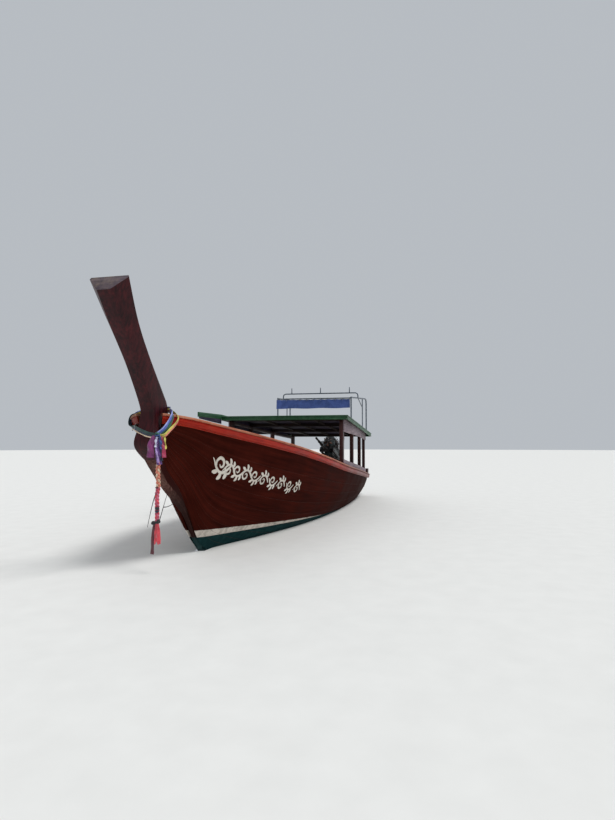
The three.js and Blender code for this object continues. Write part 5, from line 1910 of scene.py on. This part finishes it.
@dataclass
class Rack:
    """The tubular rack on the roof and the canvas laced to its front bar."""

    canvas_half: float = 0.852
    bar_z: float = 2.438
    bar_x: float = -2.55
    canvas_cut: float = 0.215  # its flat width
    canvas_wrap: float = 0.052  # how far it runs on in front of the starboard upright

    def build(self) -> None:
        """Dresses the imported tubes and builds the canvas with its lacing."""
        for node in ("rack_side_port", "rack_side_starboard"):
            softened(node, STEEL_TUBE, 0)
        for node in ("rack_hoop", "rack_bar"):
            softened(node, DARK_TUBE, 0)
        self.canvas()
        self.lacing()

    def eyelets(self) -> list[float]:
        """Where the eyelets are across the boat."""
        return [self.canvas_half * (2 * k / 10 - 1) for k in range(11)]

    def canvas(self) -> None:
        """Builds the canvas: hung from its eyelets, with folds that fan from them."""
        columns, rows = 96, 14
        half_gap = 0.085  # half the way between two eyelets
        upright = 0.032  # how far the canvas stands out in front of the starboard upright
        low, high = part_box("rack_canvas")
        x = (low[0] + high[0]) / 2
        rings = []
        for y in spread(-(self.canvas_half + self.canvas_wrap), self.canvas_half, columns):
            near = min(abs(y - eyelet) for eyelet in self.eyelets()) / half_gap
            bulge = ramp(-y, 0.780, 0.075)
            bulge = upright * bulge * bulge * (3 - 2 * bulge)
            ring = []
            for side in (1, -1):
                row = []
                for j in range(rows + 1):
                    share = j / rows
                    top = high[2] - 0.004 - 0.007 * min(1, near)
                    z = top + (low[2] + 0.004 + 0.005 * math.sin(y * 9) - top) * share
                    fold = (0.004 * math.cos(math.pi * 2 * y / 0.17) * (1 - share) ** 1.5
                            + 0.003 * math.sin(y * 23 + share * 4) + 0.004 * math.sin(y * 7.3 - share * 3))
                    row.append(Vector((x + bulge + fold + side * 0.0007, y, z)))
                ring += row if side > 0 else row[::-1]
            rings.append(ring)
        work = Work.loft("rack_canvas_panel", rings).smooth(60)
        work.fit("boat", CANVAS, "canvas", ("rack_canvas",))
        cloth(work)

    def lacing(self) -> None:
        """Builds eyelets in the canvas and the loops of line through them round the bar."""
        places = [Matrix.Translation((0, y * 0.985, 0)) for y in self.eyelets()]
        eyelet = Work.ring("canvas_eyelets", (self.bar_x + 0.004, 0, self.bar_z - 0.040), 0.008, 0.002,
                           (1, 0, 0), 16)
        eyelet.at_all(places).smooth().fit("boat", BRIGHT_STEEL, "tube_steel")
        loop = Work.ring("canvas_lacing", (self.bar_x, 0, self.bar_z - 0.012), 0.030, 0.0028,
                         (0, 1, 0.12), 24)
        loop.at_all(places).smooth().fit("boat", ROPE_TIE, "canvas")


@dataclass
class Engine:
    """The swivelling engine on its cradle, with shaft and propeller."""

    pivot: tuple[float, float, float] = (-4.950, 0.0, 0.950)
    swing: float = -4.0  # degrees, tiller a little to starboard
    rake: float = 19.0  # degrees, shaft down into the water
    ahead: float = 0.270  # the engine's bed ahead of the tilt axle
    crank: tuple[float, float, float] = (0.434, 0.0, 0.120)
    fan: tuple[float, float, float] = (0.434, 0.0, 0.270)
    charger: tuple[float, float, float] = (0.434, 0.212, 0.215)
    cylinders: tuple[float, ...] = (-0.090, 0.040, 0.170, 0.300)
    groove: float = 0.009  # how deep the belt sits in the pulleys

    def build(self) -> None:
        """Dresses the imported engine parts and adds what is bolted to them."""
        for node in ("pivot_plate", "swivel_yoke", "engine_cradle", "air_filter",
                     "exhaust", "tiller", "shaft_tube", "cylinder_head"):
            softened(node, BLACK_IRON, 0.0015)
        softened("engine_block", ENGINE_ENAMEL, 0.006)
        softened("alternator", BRIGHT_STEEL, 0.0015)
        softened("propeller", CAST_BRONZE, 0.001)
        self.drive()
        self.bolts()
        self.block_side()
        self.fuel_lines()
        self.filter_and_exhaust()
        self.tiller_grip()

    def bed(self) -> Matrix:
        """Where the engine's own axes stand at rest: along the crank, across, up."""
        return (Matrix.Translation(self.pivot) @ Matrix.Rotation(math.radians(self.swing), 4, "Z")
                @ Matrix.Rotation(math.radians(-self.rake), 4, "Y")
                @ Matrix.Translation((self.ahead, 0, 0)))

    def mount(self, work: Work, finish: Finish, slot: str, stands_for: Sequence[str] = ()) -> Work:
        """Turns a piece made in the engine's own axes into place and finishes it.

        Args:
            work: the piece.
            finish: its material.
            slot: the record's material slot.
            stands_for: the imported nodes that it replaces.

        Returns:
            The piece.
        """
        work.mesh.transform(self.bed())
        return work.fit("engine", finish, slot, stands_for)

    @staticmethod
    def wheel(name: str, middle: Sequence[float], rows: Sequence[tuple[float, float]],
              sides: int = 32) -> Work:
        """A turned wheel or can on an axis along the crank.

        Args:
            name: its name.
            middle: its middle.
            rows: distance along the axis and radius, from one end to the other.
            sides: divisions round it.

        Returns:
            The piece.
        """
        x, y, z = middle
        rings = [[Vector((x + along, y + radius * math.cos(a), z + radius * math.sin(a)))
                  for a in around(sides)] for along, radius in rows]
        return Work.loft(name, rings)

    def pulleys(self) -> tuple[tuple[str, tuple[float, float, float], float], ...]:
        """The pulleys' names, middles and radii."""
        return ("crank", self.crank, 0.078), ("fan", self.fan, 0.052), ("charger", self.charger, 0.036)

    def drive(self) -> None:
        """Builds the grooved pulleys, the fan's hub and blades and the belt over the pulleys."""
        wheels = []
        for name, middle, radius in self.pulleys():
            rows = [(-0.020, 0.014), (-0.019, radius - 0.012), (-0.014, radius), (-0.011, radius),
                    (-0.004, radius - self.groove), (0.004, radius - self.groove), (0.011, radius),
                    (0.014, radius), (0.016, radius - 0.012), (0.009, radius - 0.020), (0.009, 0.017),
                    (0.024, 0.016), (0.025, 0.006)]
            wheels.append(self.wheel(f"pulley_{name}", middle, rows))
        for angle in around(6):
            rings = []
            for share in (0.0, 0.35, 0.7, 1.0):
                radius, half = 0.018 + 0.112 * share, 0.016 + 0.020 * share
                lean = math.radians(52 - 26 * share)
                chord = Vector((math.cos(lean), math.sin(lean), 0))
                rings.append([Vector((0.052, 0, radius)) + chord * (half * c)
                              + Vector((0.0012 * d + 0.004 * (1 - c * c), 0, 0))
                              for c, d in ((-1, -1), (0, -1), (1, -1), (1, 1), (0, 1), (-1, 1))])
            blade = Work.loft("fan_blade", rings)
            blade.mesh.transform(Matrix.Translation(self.fan) @ Matrix.Rotation(angle, 4, "X"))
            wheels.append(blade)
        boss = ((0.022, 0.010), (0.024, 0.030), (0.056, 0.030), (0.060, 0.022), (0.066, 0.014),
                (0.067, 0.004))
        wheels.append(self.wheel("fan_boss", self.fan, boss, 24))
        whole = Work.joined(wheels, "front_pulleys_and_fan").smooth(34)
        self.mount(whole, BLACK_IRON, "iron", ("front_pulleys",))
        self.belt()

    def belt(self) -> None:
        """Builds the V belt: the tight loop over the three pulleys."""
        rim = []
        for _, middle, radius in self.pulleys():
            for a in around(40):
                rim.append((middle[1] + (radius - self.groove / 2) * math.cos(a),
                            middle[2] + (radius - self.groove / 2) * math.sin(a)))
        rim.sort()
        loop = []
        for points in (rim, rim[::-1]):
            side = []
            for p in points:
                while len(side) > 1 and ((side[-1][0] - side[-2][0]) * (p[1] - side[-2][1])
                                         - (side[-1][1] - side[-2][1]) * (p[0] - side[-2][0])) <= 0:
                    side.pop()
                side.append(p)
            loop += side[:-1]
        section = ((-0.0065, 0.004), (0.0065, 0.004), (0.004, -0.004), (-0.004, -0.004))
        rings = []
        for k, (y, z) in enumerate(loop + loop[:1]):
            before, after = loop[(k - 1) % len(loop)], loop[(k + 1) % len(loop)]
            out = Vector((0, after[1] - before[1], before[0] - after[0])).normalized()
            at = Vector((self.crank[0], y, z))
            rings.append([at + Vector((w, 0, 0)) + out * h for w, h in section])
        self.mount(Work.loft("drive_belt", rings, caps=False).smooth(40), RUBBER, "iron")

    def bolts(self) -> None:
        """Builds the hexagon bolts of the head, feet, bell housing, block and pivot plate."""
        head = Work.rod("engine_bolts", (0, 0, 0), (0, 0, 0.009), 0.009, 6)
        washer = Work.rod("washer", (0, 0, -0.0004), (0, 0, 0.002), 0.0125, 16)
        head.join([washer]).ease(0.0009, 1, 40)
        places = [Matrix.Translation((x, side * 0.090, 0.418)) for side in (1, -1)
                  for x in (-0.140, -0.034, 0.072, 0.178, 0.284, 0.370)]
        places += [Matrix.Translation((x, side * 0.170, 0.062)) for side in (1, -1) for x in (-0.120, 0.350)]
        for a in around(10, 0.3):
            places.append(Matrix.Translation((-0.249, 0.142 * math.cos(a), 0.160 + 0.142 * math.sin(a)))
                          @ Matrix.Rotation(math.radians(-90), 4, "Y"))
        for x in (-0.110, 0.015, 0.140, 0.265, 0.380):
            places += [Matrix.Translation((x, side * 0.150, 0.165))
                       @ Matrix.Rotation(math.radians(-90 * side), 4, "X") for side in (1, -1)]
        for x in self.cylinders:
            places.append(Matrix.Translation((x, 0.150, 0.373)) @ Matrix.Rotation(math.radians(-90), 4, "X"))
        bolts = head.at_all(places).smooth(30)
        self.mount(bolts, BRIGHT_STEEL, "tube_steel")
        plate = Work.rod("pivot_plate_bolts", (0, 0, 0), (0, 0, 0.010), 0.011, 6).ease(0.001, 1, 40)
        x, _, _ = self.pivot
        plate.at_all([Matrix.Translation((x + dx, dy, 0.7352)) for dx in (-0.085, 0.085)
                      for dy in (-0.125, 0.125)]).smooth(30)
        plate.fit("boat", BRIGHT_STEEL, "tube_steel")

    def block_side(self) -> None:
        """Builds the casting's ribs, core plugs and side covers, and the oil filter."""
        parts = []
        for side in (1, -1):
            for x in (-0.130, -0.020, 0.090, 0.200, 0.310):
                rib = Work.box("rib", (x - 0.005, 0.1385, 0.186), (x + 0.005, 0.149, 0.322))
                parts.append(rib.ease(0.002, 1, 40).turned(Matrix.Diagonal((1, side, 1, 1))))
                bpy.data.objects.remove(rib.object, do_unlink=True)
            for x in (-0.075, 0.035, 0.145, 0.255):
                plug = Work.rod("core_plug", (x, side * 0.139, 0.262), (x, side * 0.1425, 0.262), 0.024, 24)
                plug.inset(lambda c, n, side=side: n.y * side > 0.9, 0.004, -0.0015)
                parts.append(plug)
        cover = Work.box("side_cover", (-0.100, -0.1505, 0.074), (0.300, -0.1385, 0.140))
        parts.append(cover.ease(0.006, 3, 40))
        drain = Work.rod("drain_plug", (0.205, 0, -0.060), (0.205, 0, -0.072), 0.012, 6)
        parts.append(drain)
        self.mount(Work.joined(parts, "block_ribs_and_plugs").smooth(32), ENGINE_ENAMEL, "engine_iron")
        can = self.wheel("oil_filter", (0.325, -0.205, 0.120), [
            (-0.052, 0.010), (-0.050, 0.034), (-0.046, 0.038), (0.030, 0.038), (0.032, 0.040),
            (0.040, 0.040), (0.042, 0.030), (0.046, 0.012)], 28)
        neck = Work.box("filter_neck", (0.300, -0.190, 0.098), (0.350, -0.1385, 0.142)).ease(0.006, 2, 40)
        can.join([neck]).smooth(34)
        self.mount(can, BLACK_IRON, "iron")

    def fuel_lines(self) -> None:
        """Builds the injection pump with a steel line to each injector, and the coolant hose."""
        body = Work.box("injection_pump", (-0.070, 0.142, 0.196), (0.130, 0.186, 0.246)).ease(0.006, 2, 40)
        parts = [body]
        lines = []
        for k, x in enumerate(self.cylinders):
            foot = -0.045 + 0.050 * k
            parts.append(Work.rod("delivery", (foot, 0.166, 0.244), (foot, 0.166, 0.268), 0.011, 6))
            path = ((foot, 0.166, 0.262), (foot, 0.168, 0.300), (foot * 0.6 + x * 0.4, 0.166, 0.400),
                    (x, 0.150, 0.448), (x, 0.100, 0.506), (x, 0.040, 0.522), (x, 0.004, 0.514),
                    (x, 0.0, 0.500))
            lines.append(Work.tube("line", curve_through(path, 26), 0.0036, 8))
            parts.append(Work.rod("injector_nut", (x, 0, 0.498), (x, 0, 0.512), 0.012, 6))
        self.mount(Work.joined(parts).smooth(34), BRIGHT_STEEL, "tube_steel")
        self.mount(Work.joined(lines, "injector_lines").smooth(60), BRIGHT_STEEL, "tube_steel")
        path = ((0.385, -0.050, 0.385), (0.412, -0.052, 0.384), (0.428, -0.060, 0.362),
                (0.424, -0.072, 0.320), (0.404, -0.080, 0.292), (0.390, -0.080, 0.288))
        hose = Work.tube("coolant_hose", curve_through(path, 24), 0.017, 14)
        ends = (((0.400, -0.051, 0.385), (1, 0, 0)), ((0.404, -0.080, 0.293), (1, 0, 0.4)))
        clips = [Work.ring("clip", middle, 0.0185, 0.0022, axis, 20) for middle, axis in ends]
        self.mount(hose.smooth(50), RUBBER, "iron")
        self.mount(Work.joined(clips).smooth(), BRIGHT_STEEL, "tube_steel")

    def filter_and_exhaust(self) -> None:
        """Builds the air filter's clamps and wing nut, and the exhaust's flanges and bands."""
        y, z = -0.232, 0.300
        bands = [Work.ring("filter_bands", (x, y, z), 0.0805, 0.003, (1, 0, 0), 36)
                 for x in (-0.045, 0.030, 0.110, 0.185)]
        bands.append(self.wheel("filter_lid", (0.200, y, z), [
            (0.0, 0.072), (0.004, 0.071), (0.008, 0.060), (0.009, 0.020), (0.014, 0.018), (0.016, 0.008),
            (0.030, 0.0075), (0.031, 0.003)]))
        wings = Work.box("wings", (0.216, y - 0.022, z - 0.003), (0.222, y + 0.022, z + 0.003))
        bands.append(wings.ease(0.002))
        self.mount(Work.joined(bands).smooth(34), BRIGHT_STEEL, "tube_steel")
        x, y = -0.060, 0.228
        collars = [Work.ring("exhaust_bands", (x, y, z), 0.0545, 0.003, (0, 0, 1), 30)
                   for z in (0.428, 0.490, 0.552)]
        collars += [Work.rod("flange", (x, y, z), (x, y, z + 0.008), 0.034, 20) for z in (0.412, 0.596)]
        for x in self.cylinders:
            flange = Work.box("port_flange", (x - 0.032, 0.1045, 0.338), (x + 0.032, 0.1165, 0.408))
            collars.append(flange.ease(0.004))
        self.mount(Work.joined(collars).smooth(34), BLACK_IRON, "iron")

    def tiller_grip(self) -> None:
        """Builds the ribbed rubber grip, the throttle lever and its cable along the tiller."""
        rows = [(0.0, 0.018), (0.002, 0.029)]
        for n in range(22):
            rows += [(0.010 + n * 0.010, 0.0305), (0.014 + n * 0.010, 0.0285), (0.017 + n * 0.010, 0.0285)]
        rows += [(0.236, 0.034), (0.244, 0.034), (0.246, 0.020)]
        grip = self.wheel("tiller_grip", (1.000, 0.0, -0.004), rows, 28)
        self.mount(grip.smooth(40), RUBBER, "iron")
        lever = [Work.box("throttle_lever", (0.940, 0.018, 0.010), (0.952, 0.030, 0.072)).ease(0.002),
                 Work.ring("lever_band", (0.946, 0, 0.0), 0.0225, 0.004, (1, 0, 0), 24),
                 Work.ball("lever_knob", (0.946, 0.024, 0.078), 0.011)]
        lever += [Work.ring("cable_tie", (x, 0, 0), 0.0222, 0.0016, (1, 0, 0), 22)
                  for x in (0.640, 0.760, 0.880)]
        self.mount(Work.joined(lever).smooth(34), BRIGHT_STEEL, "tube_steel")
        path = [(0.944, 0.026, 0.040), (0.915, 0.0265, 0.018), (0.860, 0.0262, 0.006),
                (0.700, 0.0262, 0.004), (0.620, 0.034, 0.020), (0.560, 0.080, 0.060),
                (0.470, 0.148, 0.110), (0.300, 0.172, 0.140), (0.160, 0.176, 0.170), (0.120, 0.170, 0.200)]
        cable = Work.tube("throttle_cable", curve_through(path, 60), 0.0035, 8)
        self.mount(cable.smooth(60), RUBBER, "iron")


@dataclass
class Studio:
    """Camera, paper floor at the waterline and soft lights."""

    eye: tuple[float, float, float] = (11.425, 3.329, 1.40)
    ahead: tuple[float, float] = (-0.9703, -0.2419)
    pitch: float = 3.07  # degrees above level
    lens: float = 27.04
    sun_angle: float = 22.0

    def build(self) -> None:
        """Sets the camera where the photograph was taken, and lights the boat."""
        self.camera()
        self.floor()
        self.lights()

    def camera(self) -> None:
        """Puts the camera at eye height off the port bow."""
        data = bpy.data.cameras.new("view")
        data.lens = self.lens
        data.sensor_width = 36.0
        camera = bpy.data.objects.new("view", data)
        bpy.context.collection.objects.link(camera)
        camera.location = self.eye
        level = math.cos(math.radians(self.pitch))
        ahead = Vector((self.ahead[0] * level, self.ahead[1] * level, math.sin(math.radians(self.pitch))))
        camera.rotation_euler = ahead.to_track_quat("-Z", "Y").to_euler()
        bpy.context.scene.camera = camera
        bpy.context.scene.view_settings.view_transform = "Standard"

    @staticmethod
    def floor() -> None:
        """Lays the floor at the waterline, with the hull's waterplane left open in it."""
        outline = []
        first, foremost, count = 0.004, 0.704, 60  # stations
        inset, least_half = 0.016, 0.072
        for u in spread(first, foremost, count):
            t = LINES.search(lambda t, u=u: LINES.point(u, t).z > 0.0)
            p = LINES.skin(u, t, inset, 1)
            if p.y > least_half:
                outline.append(Vector((p.x, p.y, 0.0)))
        keel_end, stem = Vector((3.894, 0.070, 0.0)), Vector((3.908, 0.008, 0.0))
        outline += [keel_end, stem]
        outline += [Vector((p.x, -p.y, 0.0)) for p in reversed(outline)]
        rings = [outline] + [[p + Vector((p.x + 0.6, p.y * 1.5, 0)).normalized() * reach for p in outline]
                             for reach in (0.5, 3.0, 20.0, 120.0)]
        floor = Work.loft("studio_floor", rings, caps=False)
        floor.mesh.materials.append(StudioPaper("studio_paper").make())

    def lights(self) -> None:
        """Hangs one broad soft light high off the port bow, and a pale surround."""
        for name, place, power, angle in (("soft_key", (1.5, 5.0, 9.0), 1.9, self.sun_angle),
                                          ("soft_fill", (-6.0, -5.0, 6.0), 0.5, 50.0)):
            light = bpy.data.lights.new(name, "SUN")
            light.energy = power
            light.angle = math.radians(angle)
            lamp = bpy.data.objects.new(name, light)
            bpy.context.collection.objects.link(lamp)
            lamp.location = place
            lamp.rotation_euler = (-Vector(place)).to_track_quat("-Z", "Y").to_euler()
        world = bpy.data.worlds.new("pale_surround")
        bpy.context.scene.world = world
        world.use_nodes = True
        sky = world.node_tree.nodes["Background"]
        sky.inputs[0].default_value = linear("#e3e9f0")
        sky.inputs[1].default_value = 0.62


def main() -> None:
    """Builds every sub-assembly in order."""
    logging.basicConfig(level=logging.INFO, format="%(name)s: %(message)s")
    for part in (Studio(), Hull(), Prow(), Sashes(), BowOrnament(), Roof(), Rack(), Engine()):
        part.build()
        log.info("%s is done", type(part).__name__)


if __name__ == "__main__":
    main()
